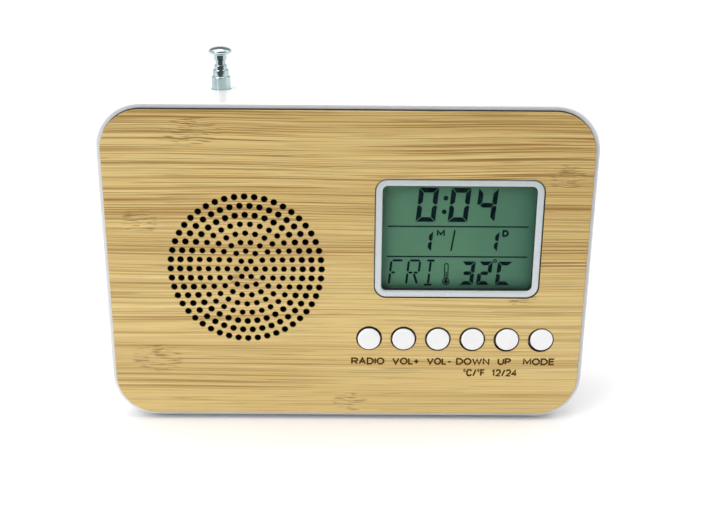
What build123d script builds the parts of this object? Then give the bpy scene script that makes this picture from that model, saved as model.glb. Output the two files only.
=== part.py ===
from build123d import *
from math import acos, cos, degrees, pi, radians, sin, sqrt
import os

os.makedirs("parts", exist_ok=True)

# A desk clock radio: a bamboo face on a white case of two shells, with a display, six buttons,
# a speaker, two dry cells and a telescopic antenna. X runs to the right as seen from the front,
# Y from front to back, and Z up. The origin lies on the surface that the feet stand on, under
# the middle of the overall width and depth. Lengths are in millimetres.

# Clearances
seat_gap = 0.15  # round a piece that is set into a seat
guide_gap = 0.2  # round a piece that passes through a wall
running_gap = 0.05  # round a tube or pin that slides
screw_gap = 0.05  # round a screw's shank

# Case
case_width = 150.0
case_height = 102.0
case_depth = 35.0
case_corner_radius = 14.0
case_wall = 2.0
front_wall = 2.0
front_shell_depth = 13.0
rim_edge_radius = 0.4
back_edge_radius = 3.0
tongue_length = 2.0
tongue_thickness = 0.9
boss_inset = 8.5  # from the case's outline to the case screws
boss_radius = 3.5
boss_reach = 4.0  # of the front bosses past the parting line
standoff_wall = 1.2
standoff_web = 2.5  # under the heads of the case screws

# Screws
case_screw_radius = 1.3
case_screw_length = 10.0
case_screw_head_radius = 2.6
case_screw_head_height = 1.9
small_screw_radius = 1.0
small_screw_length = 4.5
speaker_screw_length = 3.5
small_screw_head_radius = 2.0
small_screw_head_height = 1.5
screw_slot_width = 0.7
screw_slot_depth = 0.8
screw_slot_margin = 0.7  # from the ends of the cross slot to the head's edge

# Feet
foot_radius = 4.0
foot_proud = 0.8
foot_seat = 0.8
foot_inset = 27.0  # from the case's side
foot_margin = 2.5  # from the parting line, and from the rounding of the back edge

# Bamboo face
rim_width = 1.5
panel_thickness = 3.0
panel_proud = 1.5
panel_edge_radius = 0.3

# Speaker grille in the face: rings of holes, six more in each ring
grille_side_ratio = 0.208  # of the case's width, from its middle to the grille's
grille_rings = 8
grille_fine_rings = 5
grille_first_ring = 6
grille_step_ratio = 0.0193  # of the case's width, from one ring to the next
grille_fine_radius = 0.9
grille_coarse_radius = 1.0
grille_margin = 0.4  # from the outer holes to the opening in the shell
cloth_margin = 2.0  # of the dust cloth past that opening
cloth_thickness = 0.3

# Display
display_rise = 9.8  # of the display's middle above the case's middle
bezel_side_margin = 15.8  # from the case's side to the bezel
bezel_width_ratio = 0.34  # of the case's width
bezel_height = 38.0
bezel_corner_radius = 3.8
bezel_border = 2.2
bezel_edge_radius = 0.45
bezel_recess = 0.2  # below the bamboo
bezel_lip = 0.5
window_corner_radius = 1.6
lens_ledge = 1.2
lens_thickness = 1.0
lens_corner_radius = 2.0
lcd_overlap = 0.7  # past the window on each side
lcd_thickness = 2.8
lcd_corner_radius = 0.4
reflector_thickness = 0.2
holder_wall = 3.0
holder_floor = 1.2
holder_corner_radius = 2.0
zebra_thickness = 2.0
zebra_inset = 2.2  # from the top of the display cell to the strip's middle
zebra_end_gap = 3.0  # from the ends of the strip to the sides of the cell

# Buttons, named from left to right
button_names = ["radio", "volume_up", "volume_down", "down", "up", "mode"]
button_drop = 23.28  # of the row below the case's middle
button_row_overhang = 1.7  # of the outer buttons' middles past the bezel's sides
button_row_shift = 0.3  # of the row to the right of the display's middle
button_spacing = 3.78  # from one cap to the next
button_proud = 0.4
button_edge_radius = 0.35
button_travel = 0.5
button_hole_gap = 0.5  # round a cap in the bamboo
hole_shift_x = -0.1  # the holes in the bamboo are cut a little out of line with the caps
hole_shift_z = 0.05
hole_drift_x = -0.05  # from one hole to the next
hole_drift_z = -0.08
flange_width = 0.8
flange_thickness = 1.0
flange_gap = 0.1
stem_radius = 1.5
stem_length = 0.5
plunger_radius = 1.0
plunger_depth = 0.8  # inside its switch at rest
plunger_over_travel = 0.3
switch_width = 4.5
switch_height = 1.7

# Main board and what stands on it
board_thickness = 1.6
board_margin = 1.0
board_skirt = 7.0  # below the switches
board_corner_radius = 4.0
board_post_radius = 2.6
board_post_inset = 0.5  # from the bezel's sides to the posts' middles
board_post_margin = 0.6
chip_radius = 7.0
chip_height = 1.4
chip_edge_radius = 1.0
radio_chip_length = 10.0
radio_chip_width = 4.0
radio_chip_height = 1.6
chip_leg_count = 8
chip_leg_width = 0.5
chip_leg_reach = 1.0
chip_leg_thickness = 0.4
chip_lead_gap = 0.71  # from the speaker's leads to the legs
crystal_length = 11.0
crystal_width = 4.6
crystal_height = 3.5
capacitor_radius = 3.2
capacitor_height = 7.0
capacitor_edge_radius = 0.6
capacitor_spacing = 9.0
bead_radius = 1.3
bead_length = 3.0
bead_leg_radius = 0.3
bead_leg_length = 2.5
bead_leg_spacing = 1.2
part_row_room = 1.6  # between the box of the cells and the taller parts above it

# Speaker
speaker_gasket_thickness = 1.0
speaker_flange_width = 4.0
speaker_sheet = 0.8
surround_thickness = 0.4
surround_land = 3.4  # width of the flat rim that is glued to the frame
surround_roll_width = 4.6
surround_roll_height = 1.2
cone_depth = 3.6
cone_thickness = 0.4
coil_radius = 5.9
coil_thickness = 0.55
coil_length = 5.4
coil_gap = 0.35  # from the coil to the pole and to the top plate
spider_drop = 0.6  # of the spider behind the cone
spider_thickness = 0.3
spider_land = 2.0
spider_span = 6.3  # from the coil to the ledge that carries the spider
basket_depth = 7.0
basket_hole_gap = 1.1
plate_width = 6.2  # of the top plate's ring
plate_thickness = 1.5
magnet_width = 6.0
magnet_thickness = 2.8
magnet_gap = 1.2  # from the top plate's bore to the magnet's
yoke_thickness = 1.2
dust_cap_overlap = 1.1
dust_cap_height = 1.8
dust_cap_thickness = 0.3
speaker_screw_angles = [45, 135, 225, 315]
speaker_post_radius = 2.5
speaker_head_radius = 3.4
terminal_length = 14.0
terminal_width = 2.2
terminal_thickness = 1.0
terminal_spacing = 8.0

# Antenna: a fixed tube with three sections that slide out of it
antenna_side_shift = 8.6  # to the left of the grille's middle
antenna_speaker_gap = 3.0
antenna_tube_radius = 2.9
antenna_wall = 0.24
antenna_bush_gap = 0.22  # between one section and the bore round it
antenna_mouth_length = 2.0
antenna_bush_length = 4.0
antenna_plug_length = 3.0
antenna_stagger = 0.3  # between the lower ends of the sections
antenna_shoulder = 0.32  # rounding of the upper ends
tube_stand = 4.0  # of the tube above the case
middle_stand = 2.1  # of the middle section above the tube
upper_stand = 1.4
rod_stand = 1.3
collar_radius = 1.9
collar_height = 1.45
collar_edge = 0.3
knob_radius = 3.6
knob_height = 2.8
knob_socket = 1.2
antenna_foot_height = 9.0  # of the lug's lower end above the case's floor
lug_length = 10.0
lug_width = 6.0
lug_thickness = 1.2
lug_hole_inset = 3.0
lug_overlap = 1.0  # into the tube's plug
antenna_post_radius = 3.0
antenna_collar_wall = 1.5
antenna_collar_height = 6.0

# Dry cells and their box in the rear shell
cell_radius = 7.25
cell_length = 50.5
cell_edge_radius = 0.6
nub_radius = 2.75
nub_length = 1.3
cell_gap = 0.6
cell_room = 0.4  # above and below the pair, and before and behind it
box_x = 24.0
box_wall = 1.5
contact_thickness = 0.4
contact_width = 11.0
contact_margin = 1.2
contact_tail_width = 4.0
contact_tail_reach = 3.0
spring_length = 5.0
spring_radius = 3.2
spring_wire_radius = 0.3
spring_turns = 3.5
quarter_turns = 4

# Door of the cell box
door_thickness = 1.8
door_ledge = 1.6
door_corner_radius = 2.0
door_frame_width = 2.0
door_frame_depth = 2.5
tab_width = 8.0
tab_thickness = 1.5
tab_reach = 2.2
tab_root = 3.0
tab_spread = 18.0
tab_wall_gap = 0.1
tab_turn_radius = 3.9  # of the tabs' round ends about the door's lower edge
tab_swing = 4.8  # room that the tabs turn in, behind the back wall
latch_width = 10.0
latch_reach = 0.9
latch_root = 3.0
latch_thickness = 1.3
grip_count = 4
grip_length = 14.0
grip_width = 0.8
grip_depth = 0.5
grip_pitch = 1.8
grip_inset = 3.0

# Leads
lead_radius = 0.6
lead_bend = 2.5
lead_stand = 5.0  # of the leads behind the board
antenna_lead_drop = 4.0

# Planes of depth, from front to back
total_depth = button_proud + panel_proud + case_depth
panel_front_y = button_proud - total_depth / 2
rim_y = panel_front_y + panel_proud
seat_y = panel_front_y + panel_thickness
wall_back_y = seat_y + front_wall
parting_y = rim_y + front_shell_depth
boss_end_y = parting_y + boss_reach
back_y = rim_y + case_depth
back_inner_y = back_y - case_wall
plunger_stand = button_travel + plunger_over_travel
flange_front_y = wall_back_y + flange_gap
stem_front_y = flange_front_y + flange_thickness
plunger_front_y = stem_front_y + stem_length
switch_front_y = plunger_front_y + plunger_stand
board_front_y = switch_front_y + switch_height
board_back_y = board_front_y + board_thickness

# Heights
case_bottom_z = foot_proud
case_floor_z = case_bottom_z + case_wall
case_top_z = case_bottom_z + case_height
middle_z = case_bottom_z + case_height / 2

# Outlines that follow from the case and the face
inner_width = case_width - 2 * case_wall
inner_height = case_height - 2 * case_wall
inner_corner_radius = case_corner_radius - case_wall
tongue_inset = case_wall - tongue_thickness
panel_width = case_width - 2 * rim_width
panel_height = case_height - 2 * rim_width
panel_corner_radius = case_corner_radius - rim_width
bezel_width = case_width * bezel_width_ratio
display_x = case_width / 2 - bezel_side_margin - bezel_width / 2
grille_x = -case_width * grille_side_ratio
grille_step = case_width * grille_step_ratio
antenna_x = grille_x - antenna_side_shift
case_screw_x = case_width / 2 - boss_inset
case_screw_rise = case_height / 2 - boss_inset
case_screw_places = [(i * case_screw_x, middle_z + j * case_screw_rise) for i in (-1, 1) for j in (-1, 1)]
case_screw_seat_y = boss_end_y + standoff_web
counterbore_radius = case_screw_head_radius + 2 * guide_gap
standoff_radius = counterbore_radius + standoff_wall
foot_x = case_width / 2 - foot_inset
front_foot_y = parting_y - foot_margin - foot_radius
rear_foot_y = back_y - back_edge_radius - foot_margin - foot_radius

# Display stack
display_z = middle_z + display_rise
window_width = bezel_width - 2 * bezel_border
window_height = bezel_height - 2 * bezel_border
bezel_front_y = panel_front_y + bezel_recess
lens_front_y = bezel_front_y + bezel_lip
lens_back_y = lens_front_y + lens_thickness
lens_seat_width = window_width + 2 * lens_ledge
lens_seat_height = window_height + 2 * lens_ledge
lcd_width = window_width + 2 * lcd_overlap
lcd_height = window_height + 2 * lcd_overlap
lcd_back_y = seat_y + lcd_thickness
holder_floor_y = lcd_back_y + reflector_thickness
holder_width = lcd_width + 2 * holder_wall
holder_height = lcd_height + 2 * holder_wall
zebra_z = display_z + lcd_height / 2 - zebra_inset
zebra_length = lcd_width - 2 * zebra_end_gap
reflector_height = lcd_height - zebra_inset - zebra_thickness

# Button row
button_z = middle_z - button_drop
button_pitch = (bezel_width + 2 * button_row_overhang) / (len(button_names) - 1)
button_radius = (button_pitch - button_spacing) / 2
button_row = [i - (len(button_names) - 1) / 2 for i in range(len(button_names))]
button_places = [(display_x + button_row_shift + i * button_pitch, button_z) for i in button_row]
hole_places = [
    (x + hole_shift_x + i * hole_drift_x, z + hole_shift_z + i * hole_drift_z)
    for i, (x, z) in zip(button_row, button_places)
]
flange_radius = button_radius + flange_width

# Board outline and posts, with room beside the cell box for its leads
box_length = 2 * contact_thickness + spring_length + cell_length
box_left = box_x - box_length / 2
box_right = box_x + box_length / 2
battery_lead_x = box_right + lead_bend + lead_radius
board_post_spread = bezel_width / 2 - board_post_inset
switch_left = button_places[0][0] - switch_width / 2
switch_right = button_places[-1][0] + switch_width / 2
board_left = min(display_x - holder_width / 2, switch_left) - board_margin
board_right = max(display_x + holder_width / 2, switch_right, battery_lead_x + lead_radius) + board_margin
upper_post_z = display_z + holder_height / 2 + board_post_margin + board_post_radius
lower_post_z = (display_z - holder_height / 2 + button_z + flange_radius) / 2
board_top = upper_post_z + board_post_radius + board_margin
board_bottom = button_z - switch_width / 2 - board_skirt
board_post_places = [
    (display_x + i * board_post_spread, z) for i in (-1, 1) for z in (lower_post_z, upper_post_z)
]

# Speaker stack, as radius and depth behind the gasket
opening_radius = grille_rings * grille_step + grille_coarse_radius + grille_margin
speaker_y = wall_back_y + speaker_gasket_thickness
speaker_radius = opening_radius + speaker_flange_width
land_radius = speaker_radius - surround_land
cone_radius = land_radius - surround_roll_width
flange_back = surround_thickness + speaker_sheet
coil_inner_radius = coil_radius - coil_thickness
pole_radius = coil_inner_radius - coil_gap
plate_bore = coil_radius + coil_gap
plate_radius = plate_bore + plate_width
magnet_bore = plate_bore + magnet_gap
magnet_radius = magnet_bore + magnet_width
spider_front = cone_depth + cone_thickness + spider_drop
spider_back = spider_front + spider_thickness
ledge_radius = coil_radius + spider_span
spider_radius = ledge_radius + spider_land
basket_hole = coil_radius + basket_hole_gap
plate_back = basket_depth + plate_thickness
magnet_back = plate_back + magnet_thickness
yoke_back = magnet_back + yoke_thickness
speaker_post_reach = speaker_radius + speaker_post_radius + guide_gap
speaker_post_places = [
    (grille_x + speaker_post_reach * cos(a * pi / 180), middle_z + speaker_post_reach * sin(a * pi / 180))
    for a in speaker_screw_angles
]
terminal_z = middle_z - speaker_radius + terminal_width / 2 + seat_gap
terminal_back_y = speaker_y + flange_back + terminal_thickness

# Antenna heights
antenna_y = speaker_y + yoke_back + antenna_speaker_gap + antenna_tube_radius
antenna_step = antenna_wall + antenna_bush_gap
lug_bottom_z = case_floor_z + antenna_foot_height
tube_bottom_z = lug_bottom_z + lug_length
tube_top_z = case_top_z + tube_stand
middle_top_z = tube_top_z + middle_stand
upper_top_z = middle_top_z + upper_stand
collar_bottom_z = upper_top_z + rod_stand
knob_bottom_z = collar_bottom_z + collar_height
knob_top_z = knob_bottom_z + knob_height
middle_bottom_z = tube_bottom_z + antenna_plug_length + antenna_stagger
upper_bottom_z = middle_bottom_z + antenna_stagger
rod_bottom_z = upper_bottom_z + antenna_stagger
lug_hole_z = lug_bottom_z + lug_hole_inset
lug_front_y = antenna_y - lug_thickness / 2
lug_back_y = antenna_y + lug_thickness / 2

# Cell box and door
box_z = middle_z
box_height = 4 * cell_radius + cell_gap + 2 * cell_room
box_low = box_z - box_height / 2
box_high = box_z + box_height / 2
door_inner_y = back_y - door_thickness
cell_y = door_inner_y - cell_room - cell_radius
box_floor_y = cell_y - cell_radius - cell_room
box_front_y = box_floor_y - box_wall
cell_rise = cell_radius + cell_gap / 2
door_width = box_length + 2 * door_ledge
door_height = box_height + 2 * door_ledge
door_low = box_z - door_height / 2
door_high = box_z + door_height / 2
tab_back_y = back_inner_y - tab_wall_gap
tab_front_y = tab_back_y - tab_thickness
tail_front_y = box_front_y - contact_tail_reach
contact_high = box_z + cell_rise
contact_low = box_z - cell_rise


def facing(y):
    """The plane at depth y that faces the front, with sketch x along +X and sketch y along +Z."""
    return Plane.XZ.offset(-y)


def slab(width, height, radius, place, y_front, y_back, mode=Mode.ADD):
    """A rectangle with rounded corners about a place (x, z), run from one depth to another."""
    with BuildSketch(facing(y_front)) as outline:
        with Locations(place):
            RectangleRounded(width, height, radius)
    extrude(outline.sketch, amount=y_front - y_back, mode=mode)


def block(x_range, y_range, z_range, mode=Mode.ADD):
    """A plain block between two values of each coordinate."""
    with BuildSketch(facing(y_range[0])) as outline:
        with Locations(((x_range[0] + x_range[1]) / 2, (z_range[0] + z_range[1]) / 2)):
            Rectangle(x_range[1] - x_range[0], z_range[1] - z_range[0])
    extrude(outline.sketch, amount=y_range[0] - y_range[1], mode=mode)


def posts(radius, places, y_front, y_back, mode=Mode.ADD):
    """Round posts, or holes, at places (x, z), run from one depth to another."""
    with BuildSketch(facing(y_front)) as rounds:
        with Locations(*places):
            Circle(radius)
    extrude(rounds.sketch, amount=y_front - y_back, mode=mode)


def turned(points, plane, mode=Mode.ADD):
    """A closed outline of points (radius, distance) turned about the plane's y axis."""
    with BuildSketch(plane) as section:
        with BuildLine():
            Polyline(*points, close=True)
        make_face()
    revolve(section.sketch, axis=Axis(plane.origin, plane.y_dir), mode=mode)


def screw(shank_radius, shank_length, head_radius, head_height):
    """A pan-head screw with a cross slot: head above the XY plane, shank below it."""
    with BuildPart() as one:
        with BuildSketch():
            Circle(shank_radius)
        extrude(amount=-shank_length)
        with BuildSketch():
            Circle(head_radius)
        extrude(amount=head_height)
        fillet(one.faces().sort_by(Axis.Z)[-1].edges(), head_height / 2)
        with BuildSketch(Plane.XY.offset(head_height)):
            slot_length = 2 * (head_radius - screw_slot_margin)
            Rectangle(slot_length, screw_slot_width)
            Rectangle(screw_slot_width, slot_length)
        extrude(amount=-screw_slot_depth, mode=Mode.SUBTRACT)
    return one.part


def biarc(start, start_direction, end, end_direction):
    """The point where two arcs meet that leave start and reach end in the given directions."""
    chord = end - start
    both = start_direction + end_direction
    turn = 2 * (1 - start_direction.dot(end_direction))
    reach = (sqrt(chord.dot(both) ** 2 + turn * chord.dot(chord)) - chord.dot(both)) / turn
    leave = start + start_direction * reach
    arrive = end - end_direction * reach
    return (leave + arrive) / 2, (arrive - leave).normalized()


speaker_plane = Plane(origin=(grille_x, speaker_y, middle_z), x_dir=(1, 0, 0), z_dir=(0, 0, 1))
antenna_plane = Plane(origin=(antenna_x, antenna_y, 0), x_dir=(1, 0, 0), z_dir=(0, -1, 0))


# Bamboo face with the grille, the display's cut-out and the button holes
with BuildPart() as front_panel:
    with BuildSketch(facing(panel_front_y)):
        with Locations((0, middle_z)):
            RectangleRounded(panel_width, panel_height, panel_corner_radius)
        with Locations((grille_x, middle_z)):
            Circle(grille_fine_radius, mode=Mode.SUBTRACT)
            for ring in range(1, grille_rings + 1):
                hole_radius = grille_fine_radius if ring <= grille_fine_rings else grille_coarse_radius
                with PolarLocations(ring * grille_step, ring * grille_first_ring):
                    Circle(hole_radius, mode=Mode.SUBTRACT)
        with Locations((display_x, display_z)):
            RectangleRounded(
                bezel_width + 2 * seat_gap,
                bezel_height + 2 * seat_gap,
                bezel_corner_radius + seat_gap,
                mode=Mode.SUBTRACT,
            )
        with Locations(*hole_places):
            Circle(button_radius + button_hole_gap, mode=Mode.SUBTRACT)
    extrude(amount=-panel_thickness)
    fillet(front_panel.faces().sort_by(Axis.Y)[0].outer_wire().edges(), panel_edge_radius)
front_panel.part.label = "front_panel"
export_step(front_panel.part, "parts/front_panel.step")

# Front shell: rim, seat for the face, openings, and bosses for the screws
with BuildPart() as front_shell:
    slab(case_width, case_height, case_corner_radius, (0, middle_z), rim_y, parting_y)
    fillet(front_shell.faces().sort_by(Axis.Y)[0].outer_wire().edges(), rim_edge_radius)
    slab(
        inner_width,
        inner_height,
        inner_corner_radius,
        (0, middle_z),
        wall_back_y,
        parting_y,
        Mode.SUBTRACT,
    )
    with BuildSketch(facing(parting_y)):
        with Locations((0, middle_z)):
            RectangleRounded(
                case_width - 2 * tongue_inset,
                case_height - 2 * tongue_inset,
                case_corner_radius - tongue_inset,
            )
            RectangleRounded(inner_width, inner_height, inner_corner_radius, mode=Mode.SUBTRACT)
    extrude(amount=-tongue_length)
    slab(
        panel_width + 2 * seat_gap,
        panel_height + 2 * seat_gap,
        panel_corner_radius + seat_gap,
        (0, middle_z),
        rim_y,
        seat_y,
        Mode.SUBTRACT,
    )
    cloth_seat_radius = opening_radius + cloth_margin + seat_gap
    posts(cloth_seat_radius, [(grille_x, middle_z)], seat_y, seat_y + cloth_thickness, Mode.SUBTRACT)
    posts(opening_radius, [(grille_x, middle_z)], seat_y, wall_back_y, Mode.SUBTRACT)
    slab(
        lcd_width + 2 * guide_gap,
        lcd_height + 2 * guide_gap,
        lcd_corner_radius + guide_gap,
        (display_x, display_z),
        seat_y,
        wall_back_y,
        Mode.SUBTRACT,
    )
    posts(button_radius + guide_gap, button_places, seat_y, wall_back_y, Mode.SUBTRACT)
    posts(boss_radius, case_screw_places, wall_back_y, boss_end_y)
    posts(board_post_radius, board_post_places, wall_back_y, board_front_y)
    posts(speaker_post_radius, speaker_post_places, wall_back_y, speaker_y + flange_back)
    case_pilot_y = case_screw_seat_y - case_screw_length - screw_gap
    posts(case_screw_radius + screw_gap, case_screw_places, case_pilot_y, boss_end_y, Mode.SUBTRACT)
    small_pilot_radius = small_screw_radius + screw_gap
    board_pilot_y = board_back_y - small_screw_length - screw_gap
    posts(small_pilot_radius, board_post_places, board_pilot_y, board_front_y, Mode.SUBTRACT)
    speaker_pilot_y = speaker_y + flange_back - speaker_screw_length - screw_gap
    posts(small_pilot_radius, speaker_post_places, speaker_pilot_y, speaker_y + flange_back, Mode.SUBTRACT)
    with BuildSketch(Plane.XY.offset(case_bottom_z)):
        with Locations((-foot_x, front_foot_y), (foot_x, front_foot_y)):
            Circle(foot_radius + seat_gap)
    extrude(amount=foot_seat, mode=Mode.SUBTRACT)
front_shell.part.label = "front_shell"
export_step(front_shell.part, "parts/front_shell.step")

# Rear shell: screw standoffs, cell box with its door frame, antenna guide and post
with BuildPart() as rear_shell:
    slab(case_width, case_height, case_corner_radius, (0, middle_z), parting_y, back_y)
    fillet(rear_shell.faces().sort_by(Axis.Y)[-1].outer_wire().edges(), back_edge_radius)
    slab(
        inner_width,
        inner_height,
        inner_corner_radius,
        (0, middle_z),
        parting_y,
        back_inner_y,
        Mode.SUBTRACT,
    )
    rebate_inset = tongue_inset - seat_gap
    slab(
        case_width - 2 * rebate_inset,
        case_height - 2 * rebate_inset,
        case_corner_radius - rebate_inset,
        (0, middle_z),
        parting_y,
        parting_y + tongue_length + seat_gap,
        Mode.SUBTRACT,
    )
    posts(standoff_radius, case_screw_places, boss_end_y, back_inner_y)
    posts(counterbore_radius, case_screw_places, case_screw_seat_y, back_y, Mode.SUBTRACT)
    posts(case_screw_radius + guide_gap, case_screw_places, boss_end_y, case_screw_seat_y, Mode.SUBTRACT)
    block(
        (box_left - box_wall, box_right + box_wall),
        (box_front_y, back_inner_y),
        (box_low - box_wall, box_high + box_wall),
    )
    frame_border = guide_gap + door_frame_width
    slab(
        door_width + 2 * frame_border,
        door_height + 2 * frame_border,
        door_corner_radius + frame_border,
        (box_x, box_z),
        back_inner_y - door_frame_depth,
        back_inner_y,
    )
    block((box_left, box_right), (box_floor_y, back_y), (box_low, box_high), Mode.SUBTRACT)
    slab(
        door_width + 2 * guide_gap,
        door_height + 2 * guide_gap,
        door_corner_radius + guide_gap,
        (box_x, box_z),
        door_inner_y,
        back_y,
        Mode.SUBTRACT,
    )
    for side in (-1, 1):
        tab_middle = box_x + side * tab_spread
        tab_reach_x = tab_width / 2 + guide_gap
        block(
            (tab_middle - tab_reach_x, tab_middle + tab_reach_x),
            (back_inner_y - tab_swing, back_inner_y),
            (door_low - tab_reach - 2 * guide_gap, box_low + tab_root),
            Mode.SUBTRACT,
        )
        block(
            (tab_middle - tab_reach_x, tab_middle + tab_reach_x),
            (back_inner_y, door_inner_y),
            (door_low - guide_gap, box_low),
            Mode.SUBTRACT,
        )
    latch_reach_x = latch_width / 2 + guide_gap
    block(
        (box_x - latch_reach_x, box_x + latch_reach_x),
        (tab_back_y - latch_thickness - guide_gap, back_inner_y),
        (box_high - latch_root, door_high + latch_reach + 2 * guide_gap),
        Mode.SUBTRACT,
    )
    for z in (contact_low, contact_high):
        block(
            (box_right - contact_thickness - seat_gap, box_right),
            (box_front_y, box_floor_y),
            (z - contact_tail_width / 2 - seat_gap, z + contact_tail_width / 2 + seat_gap),
            Mode.SUBTRACT,
        )
    guide_radius = antenna_tube_radius + guide_gap
    with BuildSketch(Plane.XY.offset(case_top_z - case_wall)):
        with Locations((antenna_x, antenna_y)):
            Circle(guide_radius + antenna_collar_wall)
    extrude(amount=-antenna_collar_height)
    with BuildSketch(Plane.XY.offset(case_top_z)):
        with Locations((antenna_x, antenna_y)):
            Circle(guide_radius)
    extrude(amount=-(case_wall + antenna_collar_height), mode=Mode.SUBTRACT)
    posts(antenna_post_radius, [(antenna_x, lug_hole_z)], lug_back_y, back_inner_y)
    antenna_pilot_y = lug_front_y + small_screw_length + screw_gap
    posts(small_pilot_radius, [(antenna_x, lug_hole_z)], lug_back_y, antenna_pilot_y, Mode.SUBTRACT)
    with BuildSketch(Plane.XY.offset(case_bottom_z)):
        with Locations((-foot_x, rear_foot_y), (foot_x, rear_foot_y)):
            Circle(foot_radius + seat_gap)
    extrude(amount=foot_seat, mode=Mode.SUBTRACT)
rear_shell.part.label = "rear_shell"
export_step(rear_shell.part, "parts/rear_shell.step")

# Screws of the case, driven from the back
case_screw = screw(case_screw_radius, case_screw_length, case_screw_head_radius, case_screw_head_height)
with BuildPart() as case_screws:
    with Locations(*(Plane((x, case_screw_seat_y, z), z_dir=(0, 1, 0)) for x, z in case_screw_places)):
        add(case_screw)
case_screws.part.label = "case_screws"
export_step(case_screws.part, "parts/case_screws.step")

# Four rubber feet
with BuildPart() as rubber_feet:
    with BuildSketch():
        with Locations(*((x, y) for x in (-foot_x, foot_x) for y in (front_foot_y, rear_foot_y))):
            Circle(foot_radius)
    extrude(amount=foot_proud + foot_seat)
rubber_feet.part.label = "rubber_feet"
export_step(rubber_feet.part, "parts/rubber_feet.step")

# Silver frame round the display, rounded at its front and stepped behind for the lens
with BuildPart() as display_bezel:
    with BuildSketch(facing(bezel_front_y)):
        with Locations((display_x, display_z)):
            RectangleRounded(bezel_width, bezel_height, bezel_corner_radius)
            RectangleRounded(window_width, window_height, window_corner_radius, mode=Mode.SUBTRACT)
    extrude(amount=bezel_front_y - seat_y)
    fillet(display_bezel.faces().sort_by(Axis.Y)[0].edges(), bezel_edge_radius)
    slab(
        lens_seat_width,
        lens_seat_height,
        lens_corner_radius,
        (display_x, display_z),
        lens_front_y,
        seat_y,
        Mode.SUBTRACT,
    )
display_bezel.part.label = "display_bezel"
export_step(display_bezel.part, "parts/display_bezel.step")

# Clear lens in the bezel
lens_width = lens_seat_width - 2 * seat_gap
lens_height = lens_seat_height - 2 * seat_gap
lens_radius = lens_corner_radius - seat_gap
with BuildPart() as display_lens:
    slab(lens_width, lens_height, lens_radius, (display_x, display_z), lens_front_y, lens_back_y)
display_lens.part.label = "display_lens"
export_step(display_lens.part, "parts/display_lens.step")

# Dark foam gasket between the lens and the display cell
with BuildPart() as display_gasket:
    slab(lens_width, lens_height, lens_radius, (display_x, display_z), lens_back_y, seat_y)
    slab(
        window_width + 2 * seat_gap,
        window_height + 2 * seat_gap,
        window_corner_radius,
        (display_x, display_z),
        lens_back_y,
        seat_y,
        Mode.SUBTRACT,
    )
display_gasket.part.label = "display_gasket"
export_step(display_gasket.part, "parts/display_gasket.step")

# Liquid-crystal cell
with BuildPart() as lcd_cell:
    slab(lcd_width, lcd_height, lcd_corner_radius, (display_x, display_z), seat_y, lcd_back_y)
lcd_cell.part.label = "lcd_cell"
export_step(lcd_cell.part, "parts/lcd_cell.step")

# Reflector sheet behind the cell, below the contact strip
with BuildPart() as lcd_reflector:
    slab(
        lcd_width,
        reflector_height,
        lcd_corner_radius,
        (display_x, display_z - (lcd_height - reflector_height) / 2),
        lcd_back_y,
        holder_floor_y,
    )
lcd_reflector.part.label = "lcd_reflector"
export_step(lcd_reflector.part, "parts/lcd_reflector.step")

# Holder between the shell's wall and the board, with a floor behind the cell
with BuildPart() as lcd_holder:
    slab(
        holder_width,
        holder_height,
        holder_corner_radius,
        (display_x, display_z),
        wall_back_y,
        board_front_y,
    )
    slab(
        lcd_width + 2 * guide_gap,
        lcd_height + 2 * guide_gap,
        lcd_corner_radius + guide_gap,
        (display_x, display_z),
        wall_back_y,
        holder_floor_y,
        Mode.SUBTRACT,
    )
    slab(
        lcd_width,
        lcd_height,
        lcd_corner_radius,
        (display_x, display_z),
        holder_floor_y + holder_floor,
        board_front_y,
        Mode.SUBTRACT,
    )
    slot_x = zebra_length / 2 + seat_gap
    slot_z = zebra_thickness / 2 + seat_gap
    block(
        (display_x - slot_x, display_x + slot_x),
        (holder_floor_y, holder_floor_y + holder_floor),
        (zebra_z - slot_z, zebra_z + slot_z),
        Mode.SUBTRACT,
    )
lcd_holder.part.label = "lcd_holder"
export_step(lcd_holder.part, "parts/lcd_holder.step")

# Rubber contact strip from the cell to the board
with BuildPart() as contact_strip:
    block(
        (display_x - zebra_length / 2, display_x + zebra_length / 2),
        (lcd_back_y, board_front_y),
        (zebra_z - zebra_thickness / 2, zebra_z + zebra_thickness / 2),
    )
contact_strip.part.label = "contact_strip"
export_step(contact_strip.part, "parts/contact_strip.step")

# Main board on its four posts
board_place = ((board_left + board_right) / 2, (board_bottom + board_top) / 2)
with BuildPart() as main_board:
    slab(
        board_right - board_left,
        board_top - board_bottom,
        board_corner_radius,
        board_place,
        board_front_y,
        board_back_y,
    )
    posts(small_screw_radius + guide_gap, board_post_places, board_front_y, board_back_y, Mode.SUBTRACT)
main_board.part.label = "main_board"
export_step(main_board.part, "parts/main_board.step")

# Screws of the board
board_screw = screw(small_screw_radius, small_screw_length, small_screw_head_radius, small_screw_head_height)
with BuildPart() as board_screws:
    with Locations(*(Plane((x, board_back_y, z), z_dir=(0, 1, 0)) for x, z in board_post_places)):
        add(board_screw)
board_screws.part.label = "board_screws"
export_step(board_screws.part, "parts/board_screws.step")

# Six push switches on the front of the board, each with a bore for its plunger
plunger_back_y = switch_front_y + plunger_depth
with BuildPart() as push_switches:
    for x, z in button_places:
        block(
            (x - switch_width / 2, x + switch_width / 2),
            (switch_front_y, board_front_y),
            (z - switch_width / 2, z + switch_width / 2),
        )
    bore_back_y = plunger_back_y + button_travel + seat_gap
    posts(plunger_radius + running_gap, button_places, switch_front_y, bore_back_y, Mode.SUBTRACT)
push_switches.part.label = "push_switches"
export_step(push_switches.part, "parts/push_switches.step")

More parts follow.
